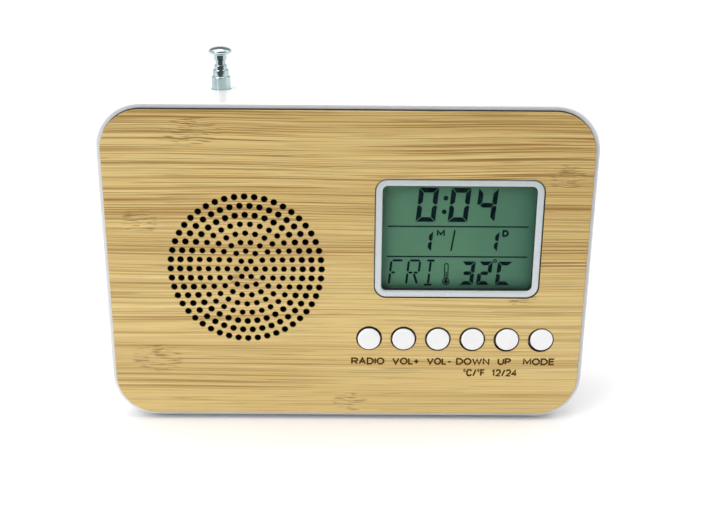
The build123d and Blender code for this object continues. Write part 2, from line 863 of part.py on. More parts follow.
# Each button: a cap with a flange behind the wall and a stem, and the plunger that it pushes
for button_name, place in zip(button_names, button_places):
    with BuildPart() as button:
        posts(button_radius, [place], panel_front_y - button_proud, flange_front_y)
        fillet(button.faces().sort_by(Axis.Y)[0].edges(), button_edge_radius)
        posts(flange_radius, [place], flange_front_y, stem_front_y)
        posts(stem_radius, [place], stem_front_y, plunger_front_y)
    button.part.label = "button_" + button_name
    export_step(button.part, "parts/button_" + button_name + ".step")

    with BuildPart() as plunger:
        posts(plunger_radius, [place], plunger_front_y, plunger_back_y)
    plunger.part.label = "plunger_" + button_name
    export_step(plunger.part, "parts/plunger_" + button_name + ".step")

# Clock circuit under a dome of resin, on the back of the board
with BuildPart() as clock_chip:
    posts(chip_radius, [(display_x, display_z)], board_back_y, board_back_y + chip_height)
    fillet(clock_chip.faces().sort_by(Axis.Y)[-1].edges(), chip_edge_radius)
clock_chip.part.label = "clock_chip"
export_step(clock_chip.part, "parts/clock_chip.step")

# Radio circuit with two rows of legs
radio_chip_x = display_x - board_post_spread / 2
radio_chip_z = terminal_z + lead_radius + chip_lead_gap + radio_chip_width / 2 + chip_leg_reach
with BuildPart() as radio_chip:
    block(
        (radio_chip_x - radio_chip_length / 2, radio_chip_x + radio_chip_length / 2),
        (board_back_y, board_back_y + radio_chip_height),
        (radio_chip_z - radio_chip_width / 2, radio_chip_z + radio_chip_width / 2),
    )
    with BuildSketch(facing(board_back_y)):
        with Locations((radio_chip_x, radio_chip_z)):
            with GridLocations(radio_chip_length / chip_leg_count, 1, chip_leg_count, 1):
                Rectangle(chip_leg_width, radio_chip_width + 2 * chip_leg_reach)
    extrude(amount=-chip_leg_thickness)
radio_chip.part.label = "radio_chip"
export_step(radio_chip.part, "parts/radio_chip.step")

# Quartz crystal in its can
part_row_z = box_high + box_wall + part_row_room + capacitor_radius
with BuildPart() as quartz_crystal:
    slab(
        crystal_length,
        crystal_width,
        crystal_width / 2 - seat_gap,
        (display_x + board_post_spread / 2, button_z),
        board_back_y,
        board_back_y + crystal_height,
    )
quartz_crystal.part.label = "quartz_crystal"
export_step(quartz_crystal.part, "parts/quartz_crystal.step")

# Two capacitors
with BuildPart() as capacitors:
    capacitor_places = [(display_x + i * capacitor_spacing / 2, part_row_z) for i in (-1, 1)]
    posts(capacitor_radius, capacitor_places, board_back_y, board_back_y + capacitor_height)
    fillet(capacitors.faces().group_by(Axis.Y)[-1].edges(), capacitor_edge_radius)
capacitors.part.label = "capacitors"
export_step(capacitors.part, "parts/capacitors.step")

# Temperature sensor: a bead on two legs
bead_x = display_x + board_post_spread / 2
bead_y = board_back_y + bead_leg_length
with BuildPart() as temperature_sensor:
    posts(bead_radius, [(bead_x, part_row_z)], bead_y, bead_y + bead_length)
    bead_legs = [(bead_x + i * bead_leg_spacing / 2, part_row_z) for i in (-1, 1)]
    posts(bead_leg_radius, bead_legs, board_back_y, bead_y)
temperature_sensor.part.label = "temperature_sensor"
export_step(temperature_sensor.part, "parts/temperature_sensor.step")

# Dark cloth behind the grille
with BuildPart() as speaker_cloth:
    posts(opening_radius + cloth_margin, [(grille_x, middle_z)], seat_y, seat_y + cloth_thickness)
speaker_cloth.part.label = "speaker_cloth"
export_step(speaker_cloth.part, "parts/speaker_cloth.step")

# Foam ring between the shell and the speaker
with BuildPart() as speaker_gasket:
    posts(speaker_radius, [(grille_x, middle_z)], wall_back_y, speaker_y)
    posts(land_radius, [(grille_x, middle_z)], wall_back_y, speaker_y, Mode.SUBTRACT)
speaker_gasket.part.label = "speaker_gasket"
export_step(speaker_gasket.part, "parts/speaker_gasket.step")

# Pressed steel frame: flange, basket, ledge for the spider and back
with BuildPart() as speaker_frame:
    turned(
        [
            (speaker_radius, surround_thickness),
            (speaker_radius, flange_back),
            (land_radius + speaker_sheet, flange_back),
            (spider_radius + speaker_sheet, spider_back + speaker_sheet),
            (ledge_radius + speaker_sheet, spider_back + speaker_sheet),
            (ledge_radius, basket_depth),
            (basket_hole, basket_depth),
            (basket_hole, basket_depth - speaker_sheet),
            (ledge_radius - speaker_sheet, basket_depth - speaker_sheet),
            (ledge_radius, spider_back),
            (spider_radius, spider_back),
            (land_radius, surround_thickness),
        ],
        speaker_plane,
    )
speaker_frame.part.label = "speaker_frame"
export_step(speaker_frame.part, "parts/speaker_frame.step")

# Surround: a flat rim on the frame and a half roll to the cone
with BuildPart() as speaker_surround:
    with BuildSketch(speaker_plane):
        with BuildLine():
            roll_middle = (land_radius + cone_radius) / 2
            ThreePointArc((cone_radius, 0), (roll_middle, -surround_roll_height), (land_radius, 0))
            Polyline(
                (land_radius, 0),
                (speaker_radius, 0),
                (speaker_radius, surround_thickness),
                (land_radius, surround_thickness),
            )
            ThreePointArc(
                (land_radius, surround_thickness),
                (roll_middle, surround_thickness - surround_roll_height),
                (cone_radius, surround_thickness),
            )
            Line((cone_radius, surround_thickness), (cone_radius, 0))
        make_face()
    revolve(axis=Axis(speaker_plane.origin, speaker_plane.y_dir))
speaker_surround.part.label = "speaker_surround"
export_step(speaker_surround.part, "parts/speaker_surround.step")

# Paper cone
with BuildPart() as speaker_cone:
    turned(
        [
            (coil_radius, cone_depth),
            (cone_radius, 0),
            (cone_radius, surround_thickness),
            (coil_radius, cone_depth + cone_thickness),
        ],
        speaker_plane,
    )
speaker_cone.part.label = "speaker_cone"
export_step(speaker_cone.part, "parts/speaker_cone.step")

# Dust cap: a shallow dome over the cone's neck
cap_radius = coil_radius + dust_cap_overlap
cap_depth = cone_depth * (cone_radius - cap_radius) / (cone_radius - coil_radius)
with BuildPart() as dust_cap:
    with BuildSketch(speaker_plane):
        with BuildLine():
            cap_front = cap_depth - dust_cap_height
            inner_front = cap_front + dust_cap_thickness
            inner_radius = cap_radius - dust_cap_thickness
            TangentArc((0, cap_front), (cap_radius, cap_depth), tangent=(1, 0))
            Line((cap_radius, cap_depth), (inner_radius, cap_depth))
            TangentArc((0, inner_front), (inner_radius, cap_depth), tangent=(1, 0))
            Line((0, inner_front), (0, cap_front))
        make_face()
    revolve(axis=Axis(speaker_plane.origin, speaker_plane.y_dir))
dust_cap.part.label = "dust_cap"
export_step(dust_cap.part, "parts/dust_cap.step")

# Voice coil on its former
coil_front = cone_depth
with BuildPart() as voice_coil:
    turned(
        [
            (coil_inner_radius, coil_front),
            (coil_radius, coil_front),
            (coil_radius, coil_front + coil_length),
            (coil_inner_radius, coil_front + coil_length),
        ],
        speaker_plane,
    )
voice_coil.part.label = "voice_coil"
export_step(voice_coil.part, "parts/voice_coil.step")

# Spider that centres the coil
with BuildPart() as speaker_spider:
    turned(
        [
            (coil_radius, spider_front),
            (spider_radius - seat_gap, spider_front),
            (spider_radius - seat_gap, spider_back),
            (coil_radius, spider_back),
        ],
        speaker_plane,
    )
speaker_spider.part.label = "speaker_spider"
export_step(speaker_spider.part, "parts/speaker_spider.step")

# Top plate, ring magnet, and yoke with its pole
with BuildPart() as top_plate:
    turned(
        [
            (plate_bore, basket_depth),
            (plate_radius, basket_depth),
            (plate_radius, plate_back),
            (plate_bore, plate_back),
        ],
        speaker_plane,
    )
top_plate.part.label = "top_plate"
export_step(top_plate.part, "parts/top_plate.step")

with BuildPart() as ring_magnet:
    turned(
        [
            (magnet_bore, plate_back),
            (magnet_radius, plate_back),
            (magnet_radius, magnet_back),
            (magnet_bore, magnet_back),
        ],
        speaker_plane,
    )
ring_magnet.part.label = "ring_magnet"
export_step(ring_magnet.part, "parts/ring_magnet.step")

with BuildPart() as pole_yoke:
    turned(
        [
            (0, basket_depth),
            (pole_radius, basket_depth),
            (pole_radius, magnet_back),
            (plate_radius, magnet_back),
            (plate_radius, yoke_back),
            (0, yoke_back),
        ],
        speaker_plane,
    )
pole_yoke.part.label = "pole_yoke"
export_step(pole_yoke.part, "parts/pole_yoke.step")

# Terminal strip on the speaker's flange
with BuildPart() as terminal_strip:
    block(
        (grille_x - terminal_length / 2, grille_x + terminal_length / 2),
        (speaker_y + flange_back, terminal_back_y),
        (terminal_z - terminal_width / 2, terminal_z + terminal_width / 2),
    )
terminal_strip.part.label = "terminal_strip"
export_step(terminal_strip.part, "parts/terminal_strip.step")

# Screws that clamp the speaker's flange under their wide heads
speaker_screw = screw(small_screw_radius, speaker_screw_length, speaker_head_radius, small_screw_head_height)
with BuildPart() as speaker_screws:
    screw_y = speaker_y + flange_back
    with Locations(*(Plane((x, screw_y, z), z_dir=(0, 1, 0)) for x, z in speaker_post_places)):
        add(speaker_screw)
speaker_screws.part.label = "speaker_screws"
export_step(speaker_screws.part, "parts/speaker_screws.step")

# Antenna: radii of the tube and the sections, and of their bores, mouths and bushes
tube_radii = [antenna_tube_radius - i * antenna_step for i in range(4)]
bore_radii = [radius - antenna_wall for radius in tube_radii]
mouth_radii = [radius + running_gap for radius in tube_radii[1:]]
bush_radii = [radius - running_gap for radius in bore_radii]


def shoulder(radius, top_z):
    """Points of a rounded upper edge, from the top down."""
    steps = [30 * i for i in range(4)]
    return [
        (
            radius - antenna_shoulder * (1 - sin(radians(step))),
            top_z - antenna_shoulder * (1 - cos(radians(step))),
        )
        for step in steps
    ]


def antenna_section(index, bottom_z, top_z):
    """A sliding tube, narrowed at its mouth, with a bush at its foot."""
    radius = tube_radii[index]
    bore = bore_radii[index]
    mouth = mouth_radii[index]
    bush = bush_radii[index - 1]
    turned(
        [
            (mouth, top_z),
            *shoulder(radius, top_z),
            (radius, bottom_z + antenna_bush_length),
            (bush, bottom_z + antenna_bush_length),
            (bush, bottom_z),
            (bore, bottom_z),
            (bore, top_z - antenna_mouth_length),
            (mouth, top_z - antenna_mouth_length),
        ],
        antenna_plane,
    )


with BuildPart() as antenna_tube:
    turned(
        [
            (0, tube_bottom_z),
            (antenna_tube_radius, tube_bottom_z),
            *reversed(shoulder(antenna_tube_radius, tube_top_z)),
            (mouth_radii[0], tube_top_z),
            (mouth_radii[0], tube_top_z - antenna_mouth_length),
            (bore_radii[0], tube_top_z - antenna_mouth_length),
            (bore_radii[0], tube_bottom_z + antenna_plug_length),
            (0, tube_bottom_z + antenna_plug_length),
        ],
        antenna_plane,
    )
    block(
        (antenna_x - lug_width / 2, antenna_x + lug_width / 2),
        (lug_front_y, lug_back_y),
        (lug_hole_z, tube_bottom_z),
    )
    block(
        (antenna_x - bore_radii[0], antenna_x + bore_radii[0]),
        (lug_front_y, lug_back_y),
        (tube_bottom_z, tube_bottom_z + lug_overlap),
    )
    posts(lug_width / 2, [(antenna_x, lug_hole_z)], lug_front_y, lug_back_y)
    posts(small_screw_radius + guide_gap, [(antenna_x, lug_hole_z)], lug_front_y, lug_back_y, Mode.SUBTRACT)
antenna_tube.part.label = "antenna_tube"
export_step(antenna_tube.part, "parts/antenna_tube.step")

with BuildPart() as antenna_middle:
    antenna_section(1, middle_bottom_z, middle_top_z)
antenna_middle.part.label = "antenna_middle"
export_step(antenna_middle.part, "parts/antenna_middle.step")

with BuildPart() as antenna_upper:
    antenna_section(2, upper_bottom_z, upper_top_z)
antenna_upper.part.label = "antenna_upper"
export_step(antenna_upper.part, "parts/antenna_upper.step")

with BuildPart() as antenna_rod:
    turned(
        [
            (0, rod_bottom_z),
            (bush_radii[2], rod_bottom_z),
            (bush_radii[2], rod_bottom_z + antenna_bush_length),
            (tube_radii[3], rod_bottom_z + antenna_bush_length),
            (tube_radii[3], collar_bottom_z + knob_socket),
            (0, collar_bottom_z + knob_socket),
        ],
        antenna_plane,
    )
antenna_rod.part.label = "antenna_rod"
export_step(antenna_rod.part, "parts/antenna_rod.step")

# Knob: a collar with a socket for the rod, under a flattened ball
with BuildPart() as antenna_knob:
    with BuildSketch(antenna_plane):
        with BuildLine():
            half_height = knob_height / 2
            centre_z = knob_bottom_z + half_height
            collar_angle = degrees(acos(collar_radius / knob_radius))
            collar_top_z = centre_z - half_height * sin(radians(collar_angle))
            socket_z = collar_bottom_z + knob_socket
            Polyline(
                (0, knob_top_z),
                (0, socket_z),
                (tube_radii[3], socket_z),
                (tube_radii[3], collar_bottom_z),
                (collar_radius - collar_edge, collar_bottom_z),
                (collar_radius, collar_bottom_z + collar_edge),
                (collar_radius, collar_top_z),
            )
            turns = [radians(-collar_angle + i * (90 + collar_angle) / 8) for i in range(9)]
            Spline(
                [(knob_radius * cos(turn), centre_z + half_height * sin(turn)) for turn in turns],
                tangents=[(-knob_radius * sin(turns[0]), half_height * cos(turns[0])), (-1, 0)],
            )
        make_face()
    revolve(axis=Axis(antenna_plane.origin, antenna_plane.y_dir))
antenna_knob.part.label = "antenna_knob"
export_step(antenna_knob.part, "parts/antenna_knob.step")

# Screw that holds the antenna's lug to its post
antenna_screw_body = screw(
    small_screw_radius, small_screw_length, small_screw_head_radius, small_screw_head_height
)
with BuildPart() as antenna_screw:
    with Locations(Plane((antenna_x, lug_front_y, lug_hole_z), z_dir=(0, -1, 0))):
        add(antenna_screw_body)
antenna_screw.part.label = "antenna_screw"
export_step(antenna_screw.part, "parts/antenna_screw.step")

# Two dry cells, laid opposite ways
with BuildPart() as dry_cells:
    for z, way in ((contact_high, 1), (contact_low, -1)):
        cell_end_x = box_x + way * (box_length / 2 - contact_thickness)
        cell_plane = Plane(origin=(cell_end_x, cell_y, z), x_dir=(0, 0, -way), z_dir=(0, 1, 0))
        turned(
            [
                (0, 0),
                (nub_radius, 0),
                (nub_radius, nub_length),
                (cell_radius - cell_edge_radius, nub_length),
                (cell_radius, nub_length + cell_edge_radius),
                (cell_radius, cell_length - cell_edge_radius),
                (cell_radius - cell_edge_radius, cell_length),
                (0, cell_length),
            ],
            cell_plane,
        )
dry_cells.part.label = "dry_cells"
export_step(dry_cells.part, "parts/dry_cells.step")

# Coil springs at the flat ends of the cells, each one wire on quarter turns
spring_ends = [
    (box_left + contact_thickness, contact_high, 1),
    (box_right - contact_thickness, contact_low, -1),
]
spring_run = spring_length - 2 * spring_wire_radius
spring_steps = round(spring_turns * quarter_turns)
with BuildPart() as cell_springs:
    for plate_x, z, way in spring_ends:
        points = []
        directions = []
        for step in range(spring_steps + 1):
            angle = 2 * pi * step / quarter_turns
            x = plate_x + way * (spring_wire_radius + spring_run * step / spring_steps)
            points.append(Vector(x, cell_y + spring_radius * cos(angle), z + spring_radius * sin(angle)))
            rise = way * spring_run / (2 * pi * spring_turns)
            heading = Vector(rise, -spring_radius * sin(angle), spring_radius * cos(angle))
            directions.append(heading.normalized())
        with BuildLine():
            for step in range(spring_steps):
                start = points[step]
                end = points[step + 1]
                meeting, heading = biarc(start, directions[step], end, directions[step + 1])
                TangentArc(start, meeting, tangent=directions[step])
                TangentArc(meeting, end, tangent=heading)
        with BuildSketch(Plane(origin=points[0], z_dir=directions[0])):
            Circle(spring_wire_radius)
        sweep()
cell_springs.part.label = "cell_springs"
export_step(cell_springs.part, "parts/cell_springs.step")
spring_turn_gap = spring_run / spring_turns - 2 * spring_wire_radius
print("least gap between the turns of a spring:", round(spring_turn_gap, 3))

# Plate that joins the two cells at the left
with BuildPart() as bridge_contact:
    block(
        (box_left, box_left + contact_thickness),
        (cell_y - contact_width / 2, cell_y + contact_width / 2),
        (box_low + contact_margin, box_high - contact_margin),
    )
bridge_contact.part.label = "bridge_contact"
export_step(bridge_contact.part, "parts/bridge_contact.step")

# Two plates at the right, each with a tail through the floor of the box
with BuildPart() as end_contacts:
    for z in (contact_low, contact_high):
        block(
            (box_right - contact_thickness, box_right),
            (cell_y - contact_width / 2, cell_y + contact_width / 2),
            (z - contact_width / 2, z + contact_width / 2),
        )
        block(
            (box_right - contact_thickness, box_right),
            (tail_front_y, cell_y),
            (z - contact_tail_width / 2, z + contact_tail_width / 2),
        )
end_contacts.part.label = "end_contacts"
export_step(end_contacts.part, "parts/end_contacts.step")

# Door of the cell box: a plate with two tabs below, and grip grooves
with BuildPart() as battery_door:
    slab(door_width, door_height, door_corner_radius, (box_x, box_z), door_inner_y, back_y)
    for side in (-1, 1):
        tab_middle = box_x + side * tab_spread
        tab_x = (tab_middle - tab_width / 2, tab_middle + tab_width / 2)
        block(tab_x, (tab_front_y, door_inner_y), (box_low + guide_gap, box_low + tab_root))
        tab_low = door_low - tab_reach
        tab_high = box_low + tab_root
        with BuildSketch(Plane.YZ.offset(tab_x[0])):
            with Locations(((tab_front_y + tab_back_y) / 2, (tab_low + tab_high) / 2)):
                Rectangle(tab_back_y - tab_front_y, tab_high - tab_low)
            with Locations((back_y, door_low)):
                Circle(tab_turn_radius, mode=Mode.INTERSECT)
        extrude(amount=tab_width)
    with BuildSketch(facing(back_y - grip_depth)):
        with Locations((box_x, door_high - grip_inset - grip_pitch * (grip_count - 1) / 2)):
            with GridLocations(1, grip_pitch, 1, grip_count):
                SlotOverall(grip_length, grip_width)
    extrude(amount=-grip_depth, mode=Mode.SUBTRACT)
battery_door.part.label = "battery_door"
export_step(battery_door.part, "parts/battery_door.step")

# Spring latch at the door's upper edge
with BuildPart() as door_latch:
    latch_x = (box_x - latch_width / 2, box_x + latch_width / 2)
    latch_front_y = tab_back_y - latch_thickness
    block(latch_x, (latch_front_y, door_inner_y), (box_high - latch_root + guide_gap, box_high - guide_gap))
    block(latch_x, (latch_front_y, tab_back_y), (box_high - latch_root + guide_gap, door_high + latch_reach))
door_latch.part.label = "door_latch"
export_step(door_latch.part, "parts/door_latch.step")

# Leads from the speaker to the board
lead_y = board_back_y + lead_stand
speaker_lead_x = board_left + 2 * board_margin + terminal_spacing
with BuildPart() as speaker_leads:
    for side in (-1, 1):
        start_x = grille_x + side * terminal_spacing / 2
        end_x = speaker_lead_x - side * terminal_spacing / 2
        run_y = lead_y - side * 2 * lead_radius
        with BuildLine() as route:
            FilletPolyline(
                (start_x, terminal_back_y, terminal_z),
                (start_x, run_y, terminal_z),
                (end_x, run_y, terminal_z),
                (end_x, board_back_y, terminal_z),
                radius=lead_bend,
            )
        with BuildSketch(Plane(origin=route.line @ 0, z_dir=route.line % 0)):
            Circle(lead_radius)
        sweep()
speaker_leads.part.label = "speaker_leads"
export_step(speaker_leads.part, "parts/speaker_leads.step")

# Leads from the cell contacts to the board
with BuildPart() as battery_leads:
    for z in (contact_low, contact_high):
        tail_y = tail_front_y + lead_radius
        with BuildLine() as route:
            FilletPolyline(
                (box_right, tail_y, z),
                (battery_lead_x, tail_y, z),
                (battery_lead_x, board_back_y, z),
                radius=lead_bend,
            )
        with BuildSketch(Plane(origin=route.line @ 0, z_dir=route.line % 0)):
            Circle(lead_radius)
        sweep()
battery_leads.part.label = "battery_leads"
export_step(battery_leads.part, "parts/battery_leads.step")

# Lead from the antenna's lug to the board
antenna_lead_x = display_x - board_post_spread
antenna_lead_low = lug_bottom_z - antenna_lead_drop
antenna_lead_high = board_bottom + board_skirt / 2
with BuildPart() as antenna_lead:
    with BuildLine() as route:
        FilletPolyline(
            (antenna_x, antenna_y, lug_bottom_z),
            (antenna_x, antenna_y, antenna_lead_low),
            (antenna_lead_x, antenna_y, antenna_lead_low),
            (antenna_lead_x, lead_y, antenna_lead_low),
            (antenna_lead_x, lead_y, antenna_lead_high),
            (antenna_lead_x, board_back_y, antenna_lead_high),
            radius=lead_bend,
        )
    with BuildSketch(Plane(origin=route.line @ 0, z_dir=route.line % 0)):
        Circle(lead_radius)
    sweep()
antenna_lead.part.label = "antenna_lead"
export_step(antenna_lead.part, "parts/antenna_lead.step")
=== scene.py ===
"""Looks of a desk clock radio with a bamboo face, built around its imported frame."""

import logging
import math
from dataclasses import dataclass, field
from enum import Enum
from typing import Any, Iterable, Protocol, Sequence

import bmesh
import bpy
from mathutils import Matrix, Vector


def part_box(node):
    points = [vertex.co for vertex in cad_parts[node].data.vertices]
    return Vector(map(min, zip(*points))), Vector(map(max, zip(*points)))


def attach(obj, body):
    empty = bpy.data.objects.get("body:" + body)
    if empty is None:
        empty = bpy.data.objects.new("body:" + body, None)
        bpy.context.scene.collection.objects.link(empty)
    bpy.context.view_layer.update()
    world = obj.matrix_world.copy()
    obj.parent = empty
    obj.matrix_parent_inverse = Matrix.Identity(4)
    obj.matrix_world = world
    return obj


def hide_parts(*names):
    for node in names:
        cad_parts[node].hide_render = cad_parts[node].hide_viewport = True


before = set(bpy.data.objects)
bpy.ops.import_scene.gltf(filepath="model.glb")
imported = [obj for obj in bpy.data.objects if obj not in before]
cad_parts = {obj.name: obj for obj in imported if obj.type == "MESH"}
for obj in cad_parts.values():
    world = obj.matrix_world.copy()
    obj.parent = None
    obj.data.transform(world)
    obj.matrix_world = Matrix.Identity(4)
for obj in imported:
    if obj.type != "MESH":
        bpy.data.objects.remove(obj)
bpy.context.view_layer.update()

LOG = logging.getLogger("clock_radio")
MM = 0.001
CASE = "case"
BUTTONS = ("radio", "volume_up", "volume_down", "down", "up", "mode")

# Slow mottle of moulded plastic, and the gloss of its clear skin.
CLOUD_PER_MM = 0.09
CLOUD_LEVELS = (0.3, 0.75)
GLOSS_COAT = 0.08

Point = tuple[float, float]
Line = tuple[Point, Point]
Place = tuple[float, float, float]
Label = tuple[str, float, float]
Socket = bpy.types.NodeSocket
Material = bpy.types.Material
Piece = bpy.types.Object


class Slot(Enum):
    """Names of three material slots, which nothing in this script uses."""

    BAMBOO = "bamboo"
    LCD_GLASS = "lcd_glass"
    DARK_CLOTH = "dark_cloth"


@dataclass(frozen=True)
class Tone:
    """A colour, as it shows on a screen, from 0 to 255."""

    red: float
    green: float
    blue: float

    def rgba(self) -> tuple[float, float, float, float]:
        """Convert the colour for the shader.

        Returns:
            The linear colour, with full cover.
        """

        def linear(level: float) -> float:
            """Undo the screen's curve for one channel."""
            part = level / 255
            return part / 12.92 if part <= 0.04045 else ((part + 0.055) / 1.055) ** 2.4

        return (linear(self.red), linear(self.green), linear(self.blue), 1.0)


@dataclass(frozen=True)
class Wire:
    """A node's socket that takes part in Python arithmetic."""

    bench: "Wiring"
    socket: Socket

    def __add__(self, other: Any) -> "Wire":
        """Return self + other."""
        return self.bench.maths("ADD", self, other)

    __radd__ = __add__

    def __sub__(self, other: Any) -> "Wire":
        """Return self - other."""
        return self.bench.maths("SUBTRACT", self, other)

    def __rsub__(self, other: Any) -> "Wire":
        """Return other - self."""
        return self.bench.maths("SUBTRACT", other, self)

    def __mul__(self, other: Any) -> "Wire":
        """Return self * other."""
        return self.bench.maths("MULTIPLY", self, other)

    __rmul__ = __mul__

    def __truediv__(self, other: Any) -> "Wire":
        """Return self / other."""
        return self.bench.maths("DIVIDE", self, other)

    def __abs__(self) -> "Wire":
        """Return the size of self."""
        return self.bench.maths("ABSOLUTE", self)


class Wiring:
    """A node tree that is wired up from Python."""

    def __init__(self, tree: bpy.types.NodeTree) -> None:
        """Keep the tree."""
        self.tree = tree

    def node(
        self, kind: str, settings: dict[str, Any] | None = None, inputs: dict[Any, Any] | None = None
    ) -> Any:
        """Add a node.

        Args:
            kind: the node's type.
            settings: its own properties, set first.
            inputs: values or links by socket name or number.

        Returns:
            The new node.
        """
        made = self.tree.nodes.new(kind)
        for key, value in (settings or {}).items():
            setattr(made, key, value)
        for key, value in (inputs or {}).items():
            self.feed(made.inputs[key], value)
        return made

    def feed(self, socket: Socket, value: Any) -> None:
        """Link a wire to a socket, or set a plain value on it.

        Args:
            socket: the socket.
            value: the wire or the value.
        """
        if isinstance(value, Wire):
            self.tree.links.new(value.socket, socket)
        else:
            socket.default_value = value.rgba() if isinstance(value, Tone) else value

    def wire(self, kind: str, settings: Any = None, inputs: Any = None, output: int | str = 0) -> Wire:
        """Add a node and return one of its outputs."""
        return Wire(self, self.node(kind, settings, inputs).outputs[output])

    def parts(self, kind: str, output: str) -> tuple[Wire, ...]:
        """Return the x, y and z of one output of a new node."""
        split = self.node("ShaderNodeSeparateXYZ", None, {0: self.wire(kind, output=output)})
        return tuple(Wire(self, part) for part in split.outputs)

    def maths(self, operation: str, *values: Any) -> Wire:
        """Return the wire of a Math node on the values."""
        return self.wire("ShaderNodeMath", {"operation": operation}, dict(enumerate(values)))

    def noise(self, x: Any, y: Any, z: Any, detail: float = 2.0, roughness: float = 0.5) -> Wire:
        """Return noise of about 0.5 on coordinates that are already scaled.

        Args:
            x: first coordinate.
            y: second coordinate.
            z: third coordinate.
            detail: number of finer layers.
            roughness: strength of the finer layers.

        Returns:
            The noise value.
        """
        vector = self.wire("ShaderNodeCombineXYZ", None, {0: x, 1: y, 2: z})
        inputs = {"Vector": vector, "Scale": 1.0, "Detail": detail, "Roughness": roughness}
        return self.wire("ShaderNodeTexNoise", None, inputs)

    def even_noise(self, place: Iterable[Wire], scale: float, detail: float) -> Wire:
        """Return noise that is alike in every direction."""
        return self.noise(*(part * scale for part in place), detail)

    def step(self, value: Any, low: float, high: float) -> Wire:
        """Return 0 below low, 1 above high and a smooth rise between."""
        inputs = {"Value": value, "From Min": low, "From Max": high}
        return self.wire("ShaderNodeMapRange", {"interpolation_type": "SMOOTHSTEP"}, inputs)

    def blend(self, factor: Any, first: Any, second: Any) -> Wire:
        """Return the colour that runs from first to second with the factor."""
        return self.wire("ShaderNodeMix", {"data_type": "RGBA"}, {0: factor, 6: first, 7: second}, 2)


class Bench(Wiring):
    """The node tree of one material."""

    def __init__(self, name: str) -> None:
        """Start a material with a plain Principled shader.

        Args:
            name: the material's name.
        """
        self.material = bpy.data.materials.new(name)
        self.material.use_nodes = True
        super().__init__(self.material.node_tree)
        self.shader = self.tree.nodes["Principled BSDF"]

    def place(self) -> tuple[Wire, ...]:
        """Return the x, y and z of the surface point, in millimetres."""
        return tuple(part * (1 / MM) for part in self.parts("ShaderNodeTexCoord", "Object"))

    def facing(self) -> tuple[Wire, ...]:
        """Return the x, y and z of the surface's outward direction."""
        return self.parts("ShaderNodeNewGeometry", "Normal")

    def bump(self, height: Wire, depth_mm: float, strength: float) -> Wire:
        """Return a normal that is raised by the height, at most depth_mm."""
        inputs = {"Strength": strength, "Distance": depth_mm * MM, "Height": height}
        return self.wire("ShaderNodeBump", None, inputs)

    def surface(self, **sockets: Any) -> Material:
        """Set sockets of the shader.

        Args:
            sockets: values or wires by the socket's name, with _ for a space.

        Returns:
            The material.
        """
        for name, value in sockets.items():
            self.feed(self.shader.inputs[name.replace("_", " ").title().replace("Ior", "IOR")], value)
        return self.material


class Finish(Protocol):
    """What every finish can do."""

    def make(self) -> Material:
        """Return the material."""


@dataclass(frozen=True)
class Knuckle:
    """A node of the cane that shows in the bamboo."""

    x: float
    z: float
    width: float
    height: float

    def near(self, bench: Bench, x: Wire, z: Wire) -> Wire:
        """Return 1 at the knuckle's middle and 0 away from it."""
        across, above = (x - self.x) / self.width, (z - self.z) / self.height
        return 1.0 - bench.step(across * across + above * above, 0.0, 1.0)


@dataclass(frozen=True)
class Streaks:
    """Noise that is drawn out along the grain and shows as streaks from one level to another."""

    along: float
    seed: float
    across: float
    low: float
    high: float
    strength: float
    detail: float = 1.0
    roughness: float = 0.5

    def level(self, bench: Bench, x: Wire, z: Wire) -> Wire:
        """Return the noise at a place in the grain."""
        return bench.noise(x * self.along, self.seed, z * self.across, self.detail, self.roughness)


